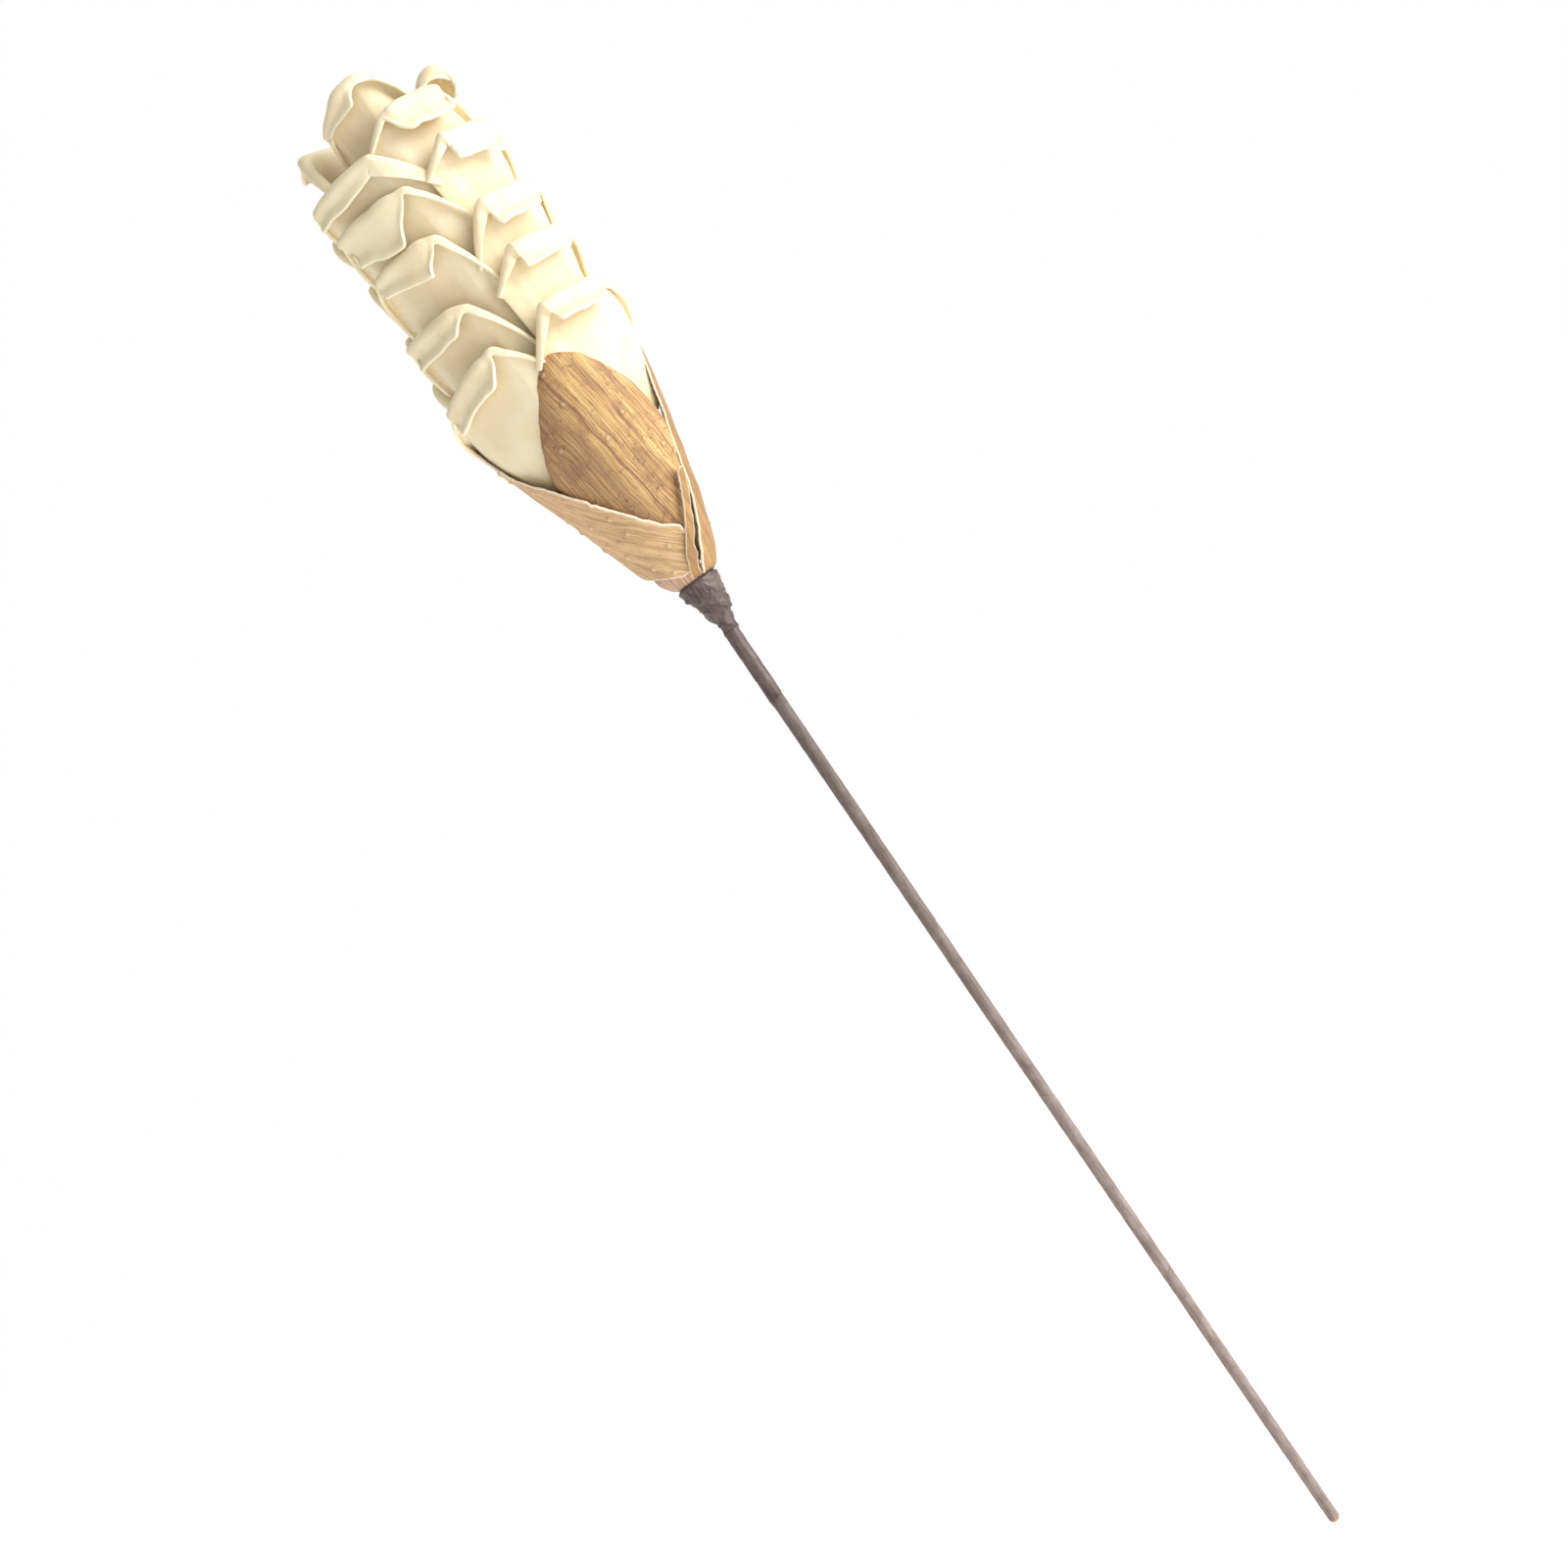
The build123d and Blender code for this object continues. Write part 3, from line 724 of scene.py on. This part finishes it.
def blister_tree():
    """Geometry nodes that raise small domes at scattered places on a leaf."""
    tree = bpy.data.node_groups.new("blisters", "GeometryNodeTree")
    open_sockets(tree, "INPUT", "Geometry", "Geometry")
    open_sockets(tree, "INPUT", "Float", "Density", "Least Gap", "Radius", "Height")
    open_sockets(tree, "INPUT", "Int", "Seed")
    open_sockets(tree, "INPUT", "Material", "Leaf")
    open_sockets(tree, "OUTPUT", "Geometry", "Geometry")
    start = tree.nodes.new("NodeGroupInput").outputs
    end = tree.nodes.new("NodeGroupOutput").inputs
    poisson = {"distribute_method": "POISSON"}
    scattered = dict(Mesh=start["Geometry"], Distance_Min=start["Least Gap"], Density_Max=start["Density"])
    spots = add(tree, "GeometryNodeDistributePointsOnFaces", poisson, Seed=start["Seed"], **scattered)
    nearest = add(tree, "GeometryNodeProximity", {"target_element": "POINTS"}, i0=spots.outputs["Points"])
    dome = remap(tree, nearest.outputs["Distance"], 0.0, start["Radius"], 1.0, 0.0)
    # A leaf too small to be given a blister stays flat.
    dome = math_of(tree, "MULTIPLY", dome, nearest.outputs["Is Valid"])
    rise = math_of(tree, "MULTIPLY", dome, start["Height"])
    normal = tree.nodes.new("GeometryNodeInputNormal").outputs[0]
    outwards = add(tree, "ShaderNodeVectorMath", {"operation": "SCALE"}, i0=normal, Scale=rise).outputs[0]
    raised = add(tree, "GeometryNodeSetPosition", Geometry=start["Geometry"], Offset=outwards)
    marked = add(tree, "GeometryNodeStoreNamedAttribute", FLOAT_ON_POINTS, Geometry=raised.outputs[0],
                 Name="blister", Value=dome)
    real = add(tree, "GeometryNodeRealizeInstances", Geometry=marked.outputs[0])
    painted = add(tree, "GeometryNodeSetMaterial", Geometry=real.outputs[0], Material=start["Leaf"])
    tree.links.new(painted.outputs[0], end["Geometry"])
    return tree


blisters = blister_tree()


def bract_sheet(name, levels, right_rim, left_rim, layer, seed, lift=(0.0, 0.0), grid=BRACT_GRID,
                spread=((0.0, 0.0),), middle=0.0, cut=(), rim_width=0.9):
    """A bract between two rims, each a list of (height, azimuth), on one layer of the cup.

    lift raises its left and right rims, and spread widens it about a middle azimuth."""
    low, high = levels
    rows, columns = grid
    share = np.linspace(0, 1, rows)[:, None]
    height = low + (high - low) * share + np.zeros((1, columns))
    side = np.linspace(0, 1, columns)[None, :]
    radius = cup_radius(height) - layer * LAYER

    def rim_azimuth(rim, sign):
        """The rim's azimuth on each row, in radians, with its torn edge."""
        spots = line_of(height[:, 0], sign * 9.0, 0.0)
        torn = wobble(spots, 4.0, seed + sign) * 0.65 + wobble(spots, 1.3, seed + 2 * sign) * 0.3
        return np.radians(follow(rim, height)) + (torn / np.maximum(radius[:, 0], 5))[:, None]

    first, last = rim_azimuth(left_rim, 1), rim_azimuth(right_rim, 2)
    azimuth = first + (last - first) * side
    if cut:
        # The foot is cut off slanting: (azimuth, how much higher than its lowest point).
        height = height + follow(cut, np.degrees(azimuth)) * np.exp(-(height - low) / CUT_REACH)
        radius = cup_radius(height) - layer * LAYER
    inner = ease((np.cos(azimuth - math.radians(middle)) - 0.45) / 0.45)
    radius = radius + inner * follow(spread, height)
    arc = azimuth * radius
    from_left, from_right = arc - first * radius, last * radius - arc
    near = np.minimum(np.minimum(from_left, from_right), high - height)
    if cut:
        near = np.minimum(near, (high - low) * share + 0.25)
    flat = line_of(arc, height, 0.0)
    ribs = RIB * wobble(flat * RIB_STRETCH, RIB_SIZE, seed + 9)
    out = WAVE * wobble(flat, WAVE_SIZE, seed + 5) + ribs
    out = out + lift[0] * np.exp(-np.maximum(from_left, 0) / LIFT_REACH)
    out = out + lift[1] * np.exp(-np.maximum(from_right, 0) / LIFT_REACH)
    rim = np.clip(1.25 - near / rim_width, 0, 1)
    places = around(azimuth, radius + out, height)
    return grid_mesh(name, places, attributes={"rim": rim}, uv=np.stack([arc, height], axis=-1))


def finish_bract(leaf, node, material, density=1500.0, seed=1):
    """Raises a leaf's blisters, gives it its thickness, and stands it for its CAD node."""
    sizes = dict(Least_Gap=BLISTER_GAP, Radius=BLISTER_RADIUS, Height=BLISTER_HEIGHT)
    piece = grown(node + "_blistered", blisters, material, leaf.data, Density=density, Seed=seed, **sizes)
    bpy.data.objects.remove(leaf)
    walled(piece, BRACT * MM)
    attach(piece, "root")
    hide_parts(node)


def mirrored(rim, middle):
    """The same rim on the other side of a middle azimuth."""
    return [(height, 2 * middle - azimuth) for height, azimuth in rim]


# The front bract, and the one behind it. Rims are (height, azimuth in degrees).
INNER_LEVELS = (6.0, 105.0)
front_left = [
    (6.0, -40), (20.0, -45), (45.0, -47), (55.0, -52), (62.0, -52),
    (76.0, -35), (89.0, -18), (99.0, -7), (105.0, 5),
]
front_right = [
    (6.0, 34), (20.0, 50), (40.0, 63), (60.0, 66), (77.0, 50),
    (88.5, 36), (97.5, 25), (102.5, 15), (105.0, 7),
]
front_sheet = bract_sheet(
    "bract_front_leaf", INNER_LEVELS, front_right, front_left, 1, 11, lift=(-2.5, -3.0), rim_width=0.35
)
front_leaf = bract_material(
    "bract_golden_leaf", GOLDEN, 8, 3.0, 0.5, brown=(8.0, 16.0), split=15.2, crazing=0.9
)
finish_bract(front_sheet, "bract_front", front_leaf, seed=4)

back_left, back_right = mirrored(front_right, 90), mirrored(front_left, 90)
rear_sheet = bract_sheet(
    "bract_back_leaf", INNER_LEVELS, back_right, back_left, 1, 17, lift=(-3.0, -2.5), rim_width=0.5
)
rear_leaf = bract_material("bract_golden_back", GOLDEN, -6, 31.0, 0.6, crazing=0.6)
finish_bract(rear_sheet, "bract_back", rear_leaf, seed=9)

# The left bract wraps over the front one, and its foot is cut off slanting.
LEFT_CUT = ((-190, 6.0), (-130, 10.0), (-90, 9.5), (-50, 5.0), (-15, 0.0), (20, 0.0))
LEFT_SPREAD = (
    (0.0, 0.4), (7.0, -0.2), (14.0, -1.4), (20.0, -2.0), (33.0, -2.7),
    (47.0, -2.9), (60.0, -1.8), (72.0, -0.6), (80.0, 0.7), (101.5, 1.0),
)
left_rim = [
    (4.2, 12), (9.0, 22), (15.0, 24), (21.0, 20), (25.0, 4), (36.0, -16), (49.0, -33),
    (60.0, -49), (67.0, -61), (73.0, -69), (86.0, -78), (96.0, -84), (101.5, -88),
]
left_sheet = bract_sheet(
    "bract_left_leaf", (4.2, 101.5), left_rim, mirrored(left_rim, -90), 0, 23, lift=(0.9, 1.5),
    grid=(150, 160), spread=LEFT_SPREAD, middle=-90.0, cut=LEFT_CUT,
)
left_leaf = bract_material("bract_left_tan", TAN, 46, 7.0, 0.25, crazing=0.15)
finish_bract(left_sheet, "bract_left", left_leaf, density=9000.0, seed=12)

RIGHT_SPREAD = (
    (0.0, -0.2), (8.0, -0.8), (14.0, -1.2), (31.0, -2.0), (53.0, -3.2),
    (62.0, -3.0), (76.0, -2.6), (88.0, -2.8), (99.5, -3.8),
)
right_rim = [
    (1.0, 24), (3.0, 24), (8.7, 32), (16.3, 41), (25.0, 52), (35.8, 58),
    (48.0, 62), (61.0, 65), (73.5, 68), (86.0, 74), (94.0, 79), (99.5, 84),
]
right_sheet = bract_sheet(
    "bract_right_leaf", (1.0, 99.5), mirrored(right_rim, 90), right_rim, 0, 29, lift=(0.9, 0.5),
    spread=RIGHT_SPREAD, middle=90.0,
)
right_leaf = bract_material("bract_right_tan", SHADED, -4, 13.0, 0.2)
finish_bract(right_sheet, "bract_right", right_leaf)

# A bract below the left one's cut foot runs down into the tape.
UNDER_SPREAD = ((6.0, 0.0), (9.0, -0.8), (14.0, -2.4), (20.0, -3.4))
under_rim = [(-6.0, 44), (0.0, 44), (4.0, 38), (8.0, -10), (14.0, -38), (20.0, -62)]
under_sheet = bract_sheet(
    "bract_under_leaf", (-6.0, 20.0), under_rim, mirrored(under_rim, -90), 1.25, 37, grid=(60, 110),
    rim_width=0.3, spread=UNDER_SPREAD, middle=-90.0,
)
under_leaf = bract_material("bract_under_tan", PINKISH, 10, 19.0, 0.1)
finish_bract(under_sheet, "bract_under", under_leaf)

# A splinter stands loose where the left and right bracts part.
splinter_left = [(1.5, -4), (10.0, 8), (20.0, 25), (30.0, 35), (38.5, 41), (39.8, 43.5)]
splinter_right = [(1.5, 15), (10.0, 22), (20.0, 34), (30.0, 43.5), (39.8, 49)]
splinter_sheet = bract_sheet(
    "bract_splinter_strip", (1.5, 39.8), splinter_right, splinter_left, -1.8, 41, grid=(70, 16),
    rim_width=0.28,
)
splinter_leaf = bract_material("bract_splinter_tan", SHADED, 0, 23.0, 0.0)
finish_bract(splinter_sheet, "bract_splinter", splinter_leaf)

# ==================================================================== petals
# Each petal is cut from soft cream sheet, glued to the core by its foot, and folded over at the top.
# The fold hangs outwards as a flap. The pairs stand square to each other, the lower outside the upper.
SHEET = 1.5  # the sheet's thickness
BODY = 54.0  # from a petal's foot to its crest
# The palest cream is a painted highlight, and the tan is painted warm shade.
CREAM_HIGHLIGHT = (0.94, 0.865, 0.66, 1)
CREAM = (0.85, 0.74, 0.52, 1)
CREAM_DEEP = (0.80, 0.67, 0.42, 1)
SHADE_TAN = (0.62, 0.48, 0.29, 1)
RIM_HIGHLIGHT = 0.35
CREST_BEND = 2.3  # how softly the crest turns down beside the fold
FOOT_NARROWING = 0.8
BELLY = 0.9
SHEET_WAVE, SHEET_WAVE_SIZE = 1.0, 14.0
SHEET_CRUMPLE, SHEET_CRUMPLE_SIZE = 0.3, 6.0
SHEET_GLOW = (1.0, 0.82, 0.58)
COLUMN_COUNTS = (8, 5, 5, 6, 14, 6, 5, 5, 9)
BODY_ROWS, FLAP_ROWS = 16, 20


def petal_material():
    """Soft matte sheet: faint mottling, painted warm shade low between the petals and under the flaps, a
    painted highlight along the flap's edge, light passing through.
    """
    material, tree, shader = new_material("petal_sheet", 0.6)
    place = add(tree, "ShaderNodeTexCoord").outputs["Object"]
    mottle = clouds(tree, place, 70.0, 4.0, 0.6)
    colour = ramp(tree, mottle, ((0.3, CREAM_DEEP), (0.62, CREAM)), smooth=True)
    # Painted shade, warm tan, low down and under the flaps.
    colour = blend(tree, painted_value(tree, "warm_shade"), colour, SHADE_TAN)
    # Painted highlight, paler along the flap's edge and its roll.
    highlight_share = math_of(tree, "MULTIPLY", painted_value(tree, "rim_highlight"), RIM_HIGHLIGHT)
    tree.links.new(blend(tree, highlight_share, colour, CREAM_HIGHLIGHT), shader.inputs["Base Color"])
    shader.inputs["Subsurface Weight"].default_value = 0.25
    shader.inputs["Subsurface Radius"].default_value = SHEET_GLOW
    shader.inputs["Subsurface Scale"].default_value = 0.0022
    shader.inputs["Sheen Weight"].default_value = 0.15
    skin = clouds(tree, place, 1400.0, 3.0, 0.6)
    relief = math_of(tree, "MULTIPLY_ADD", clouds(tree, place, 160.0), 3.0, skin)
    emboss(tree, shader, relief, 0.00012, 0.5)
    return material


def petal_sheet(name, at, ridge, radius=35.6, seed=0, half=17.0, slant=0.0, drop=(1.7, 1.7),
                flap=(9.0, 9.0), corner=(12.0, 9.0), lips=(6.4, 6.4), roll=(3.1, 3.1), opening=172.0,
                out=0.195, bulge=0.0, notch=(1.0, 1.0), span=(19.0, 19.0), flare=2.0, tilt=0.0,
                sag=(0.0, 0.0)):
    """One petal. x runs along the fold, z up and h outwards on the sheet, all in millimetres.

    at is its azimuth and ridge the height of its fold. half is half the fold's straight part,
    flap how far the fold hangs down between its corners, and lips how far beside them. roll is the
    fold's bend radius, opening its angle, and flare how far its edge turns out again. drop and sag
    let the sides fall, over a span beside the fold, and notch lifts the fold's ends. out, bulge and
    tilt lean and fill the body. A pair of values is for the left and the right."""
    stops = (-half - span[0], -half - 5, -half - 1.5, -half + 1, -corner[0])
    stops = stops + (corner[1], half - 1, half + 1.5, half + 5, half + span[1])
    columns = zip(stops, stops[1:], COLUMN_COUNTS)
    x = np.concatenate([np.linspace(a, b, n, endpoint=False) for a, b, n in columns] + [[stops[-1]]])
    left = x < 0
    past_half = np.abs(x) - half

    def sided(pair):
        return np.where(left, pair[0], pair[1])

    # The crest, where the sheet is folded, falls away on both sides of its straight middle.
    beyond = CREST_BEND * np.logaddexp(0, past_half / CREST_BEND)
    crest = ridge + slant * np.clip(x, -half, half) - sided(drop) * beyond - sided(sag) * beyond**2
    crest = crest + sided(notch) * bump_at(past_half + 0.8, 2.0)
    crest = crest + 0.6 * wobble(line_of(x, seed, 0.0), 8.0, seed)
    fall = np.gradient(crest, x)
    length = np.hypot(1, fall)
    out_x, out_z = -fall / length, 1 / length

    # The body runs from the foot up to the crest.
    share = (np.linspace(0, 1, BODY_ROWS) ** 0.8)[:, None]
    body_x = x * FOOT_NARROWING + (x - x * FOOT_NARROWING) * share
    body_z = ridge - BODY + (crest - (ridge - BODY)) * share

    # The flap rolls over the crest and hangs, full in the middle and only a lip at the sides.
    angle = math.radians(opening)
    inside = sided(corner)
    ramp_out = np.clip((np.abs(x) - inside) / np.maximum(half - inside, 0.5), 0, 1)
    hang = 1 - (0.4 * ramp_out + 0.6 * ease(ramp_out))
    fullness = flap[0] + (flap[1] - flap[0]) * np.clip((x + corner[0]) / (corner[0] + corner[1]), 0, 1)
    lip = sided(lips) * (1 - 0.35 * np.clip(past_half / sided(span), 0, 1))
    share_right = ease((x + half) / (2 * half))
    bend_radius = (roll[0] + (roll[1] - roll[0]) * share_right) * (0.6 + 0.4 * hang)
    reach = lip + (fullness + bend_radius * angle - lip) * hang
    reach = reach * (1 + 0.06 * wobble(line_of(x, 3.0 * seed, 0.0), 7.0, seed + 4))
    run = reach * np.linspace(0, 1, FLAP_ROWS + 1)[1:, None]
    turned = np.minimum(run / bend_radius, angle)
    past = np.maximum(run - bend_radius * angle, 0)
    ahead = bend_radius * np.sin(turned) + past * math.cos(angle)
    straight = np.maximum(reach - bend_radius * angle, 1.0)
    belly = BELLY * np.sin(np.pi * np.clip(past / straight, 0, 1)) * hang
    rise = bend_radius * (1 - np.cos(turned)) + past * math.sin(angle) - belly
    rise = rise + flare * ease((run - reach + 5.0) / 5.0) * hang
    all_x = np.concatenate([body_x, x + out_x * ahead])
    all_z = np.concatenate([body_z, crest + out_z * ahead])
    all_h = np.concatenate([np.zeros_like(body_x), rise])

    # The sheet is uneven, and is bent round the flower a little flatter than a circle.
    spots = line_of(all_x, all_z, all_h * 2)
    all_h = all_h + SHEET_WAVE * wobble(spots, SHEET_WAVE_SIZE, seed + 1)
    all_h = all_h + SHEET_CRUMPLE * wobble(spots, SHEET_CRUMPLE_SIZE, seed + 2)
    down = np.clip((ridge - all_z) / BODY, 0, 1)
    cone = radius + (all_z - ridge) * out + bulge * np.sin(np.pi * down) + tilt * all_x
    offset = all_x / (radius + 2.0)
    flatter = 0.5 * (1 / np.cos(np.clip(offset, -0.5, 0.5)) - 1)
    flatter = flatter * (1 - ease((np.abs(offset) - 0.5) / 0.6))
    places = around(math.radians(at) + offset, (cone + all_h) * (1 + flatter), all_z)

    # Painted shade makes it warmer low down and under the flap, and a painted highlight makes it paler
    # along the flap's edge and its roll.
    under_flap = 0.3 * bump_at(crest - body_z - fullness - 4, 8) * hang
    deep_down = 0.9 * ease((ridge - body_z - 34) / 16) * (1 - ease(past_half / 6.0))
    warm_shade = np.concatenate([np.maximum(deep_down, under_flap), np.zeros_like(run)])
    edge = ease(1 - (reach - run) / 2.4) + 0.4 * bump_at(turned - 1.3, 0.8)
    rim_highlight = np.concatenate([np.zeros_like(body_x), np.clip(edge, 0, 1)])
    piece = grid_mesh(name, places, attributes={"warm_shade": warm_shade, "rim_highlight": rim_highlight})
    piece.data.materials.append(petal_sheet_finish)
    walled(piece, SHEET * MM, offset=0.0, levels=1, even=False)
    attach(piece, "root")
    return piece


petal_sheet_finish = petal_material()
RIGHT_COLUMN = dict(roll=(3.4, 2.2), lips=(8.6, 6.4), span=(11, 19))
FRONT_PETALS = {
    1: dict(
        at=-42, ridge=112.2, slant=0.3, radius=37.6, tilt=-0.08, out=0.25, bulge=2.9, flap=(9.5, 11),
        corner=(14, 9.5), drop=(0.9, 1.3), notch=(0.5, 1.5), span=(23, 13),
    ),
    2: dict(
        at=42, ridge=118.5, radius=36.8, tilt=0.03, out=0.20, bulge=3.3, flap=(8.0, 9.5),
        corner=(15.4, 9.5), drop=(1.6, 1.0), roll=(3.4, 2.2), lips=(8.6, 6.4), span=(12, 23),
    ),
    3: dict(at=-42, ridge=137.8, flap=(10, 8.5), corner=(15.4, 9), drop=(1.7, 2.1)),
    4: dict(at=47, ridge=143.8, flap=(8.5, 9.5), corner=(15.4, 9.5), drop=(1.1, 1.7), **RIGHT_COLUMN),
    5: dict(at=-33.5, ridge=166.0, flap=(7.2, 13), corner=(12, 9.6), drop=(1.7, 2.6), notch=(0.8, 1.8)),
    6: dict(at=47, ridge=165.5, flap=(10.5, 11), corner=(14.5, 9), drop=(1.9, 1.7), **RIGHT_COLUMN),
    7: dict(
        at=-33.5, ridge=187.6, half=18.0, flap=(13, 19), corner=(16, 6), drop=(1.7, 1.5),
        notch=(0.6, 1.6),
    ),
    8: dict(
        at=52, ridge=194.6, flap=(9.0, 14), corner=(15.8, 8), drop=(0.95, 1.7), notch=(1.4, 1.0),
        roll=(3.2, 2.2), lips=(8.0, 6.4), span=(11, 19),
    ),
    9: dict(
        at=-39.5, ridge=204.0, slant=0.1, half=18.0, flap=(7.5, 9), corner=(15, 0.5), lips=(6, 12.0),
        drop=(1.7, 1.25),
    ),
    10: dict(
        at=35, ridge=216.5, radius=27.5, half=14.0, flap=(12, 11.5), corner=(9.3, 12.2),
        drop=(1.1, 1.6), bulge=7.0, notch=(1.0, 0.5),
    ),
    11: dict(
        at=-18, ridge=232.0, slant=0.5, radius=19.0, half=10.3, flap=(3, 7), corner=(8.8, 3),
        drop=(2.4, 0.55), lips=(5, 10), roll=(2.4, 4.6), bulge=1.0, notch=(0.3, 0.3),
        sag=(0.0, 0.035),
    ),
}
BACK_PETALS = {
    1: dict(
        at=140, ridge=112.5, slant=-0.1, radius=37.0, out=0.26, bulge=0.6, flap=(9, 10),
        corner=(14, 10), drop=(1.0, 1.6), span=(23, 23),
    ),
    2: dict(
        at=-130, ridge=125.0, radius=36.4, out=0.25, bulge=2.4, flap=(9, 8), corner=(12, 7),
        roll=(3.1, 2.0), drop=(1.6, 1.0), span=(23, 23),
    ),
    3: dict(at=145, ridge=138.0, flap=(10, 12), corner=(12, 8), drop=(1.4, 2.0)),
    4: dict(at=-127, ridge=146.0, flap=(10, 9), corner=(12, 7), roll=(3.1, 1.8), drop=(1.9, 1.5)),
    5: dict(at=142, ridge=160.0, flap=(8, 12), corner=(14, 9), notch=(1.6, 0.8)),
    6: dict(
        at=-129, ridge=171.0, slant=0.05, flap=(13, 9), corner=(10, 8), roll=(3.1, 1.8),
        drop=(1.4, 2.0),
    ),
    7: dict(at=148, ridge=184.0, flap=(9, 14), corner=(14, 7), drop=(1.7, 1.4)),
    8: dict(at=-135, ridge=195.0, flap=(9, 12), corner=(14, 8), drop=(2.0, 1.2)),
    9: dict(
        at=99, ridge=220.0, radius=22.0, half=11.0, flap=(2, 2), corner=(9.5, 9.5), roll=(7.4, 6.6),
        opening=238.0, lips=(9, 7), bulge=6.0, drop=(1.5, 1.6),
    ),
    10: dict(
        at=-121, ridge=226.5, radius=25.5, half=14.0, flap=(6, 7), corner=(10, 9), roll=(2.6, 3.2),
        bulge=6.0,
    ),
    11: dict(at=155, ridge=227.0, radius=17.0, half=8.5, flap=(4, 5), corner=(7, 6), bulge=5.0),
}
for side, petals in (("front", FRONT_PETALS), ("back", BACK_PETALS)):
    for level, shape in petals.items():
        node = f"petal_{side}_{level:02d}"
        petal = petal_sheet(node + "_folded", seed=2 * level + (side == "back"), **shape)
        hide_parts(node)

# ==================================================================== bud
# The innermost petal is rolled up on itself and glued on end on the core's tip.
BUD_HEIGHT = 30.0
BUD_TURNS, BUD_GRID = 2.4, (16, 90)
BUD_CORE, BUD_PITCH, BUD_FLARE = 2.6, 2.1, 1.2
BUD_FALL, BUD_UNEVEN = 3.5, 1.3
bud_foot = (head_place.inverted() @ Vector((0, 0, bud_box[0].z))).z


def bud_piece():
    rows, steps = BUD_GRID
    angle = np.linspace(0, 2 * np.pi * BUD_TURNS, steps)[None, :] + np.zeros((rows, 1))
    share = np.linspace(0, 1, rows)[:, None] + np.zeros((1, steps))
    wound = angle / angle.max()
    radius = BUD_CORE + BUD_PITCH * angle / (2 * np.pi) + BUD_FLARE * share**3 * wound
    # The rolled sheet's upper edge is cut unevenly, and is lower on its outer turns.
    height = bud_foot + (BUD_HEIGHT - BUD_FALL * wound + BUD_UNEVEN * np.sin(1.7 * angle)) * share
    places = around(angle, radius, height)
    # Painted shade: the rolled sheet is warmer and darker towards its foot.
    return grid_mesh("tip_bud_rolled", places, attributes={"warm_shade": 0.5 * (1 - share)})


bud = bud_piece()
bud.data.materials.append(petal_sheet_finish)
walled(bud, SHEET * MM, offset=0.0, levels=1, even=False)
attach(bud, "root")
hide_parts("tip_bud")
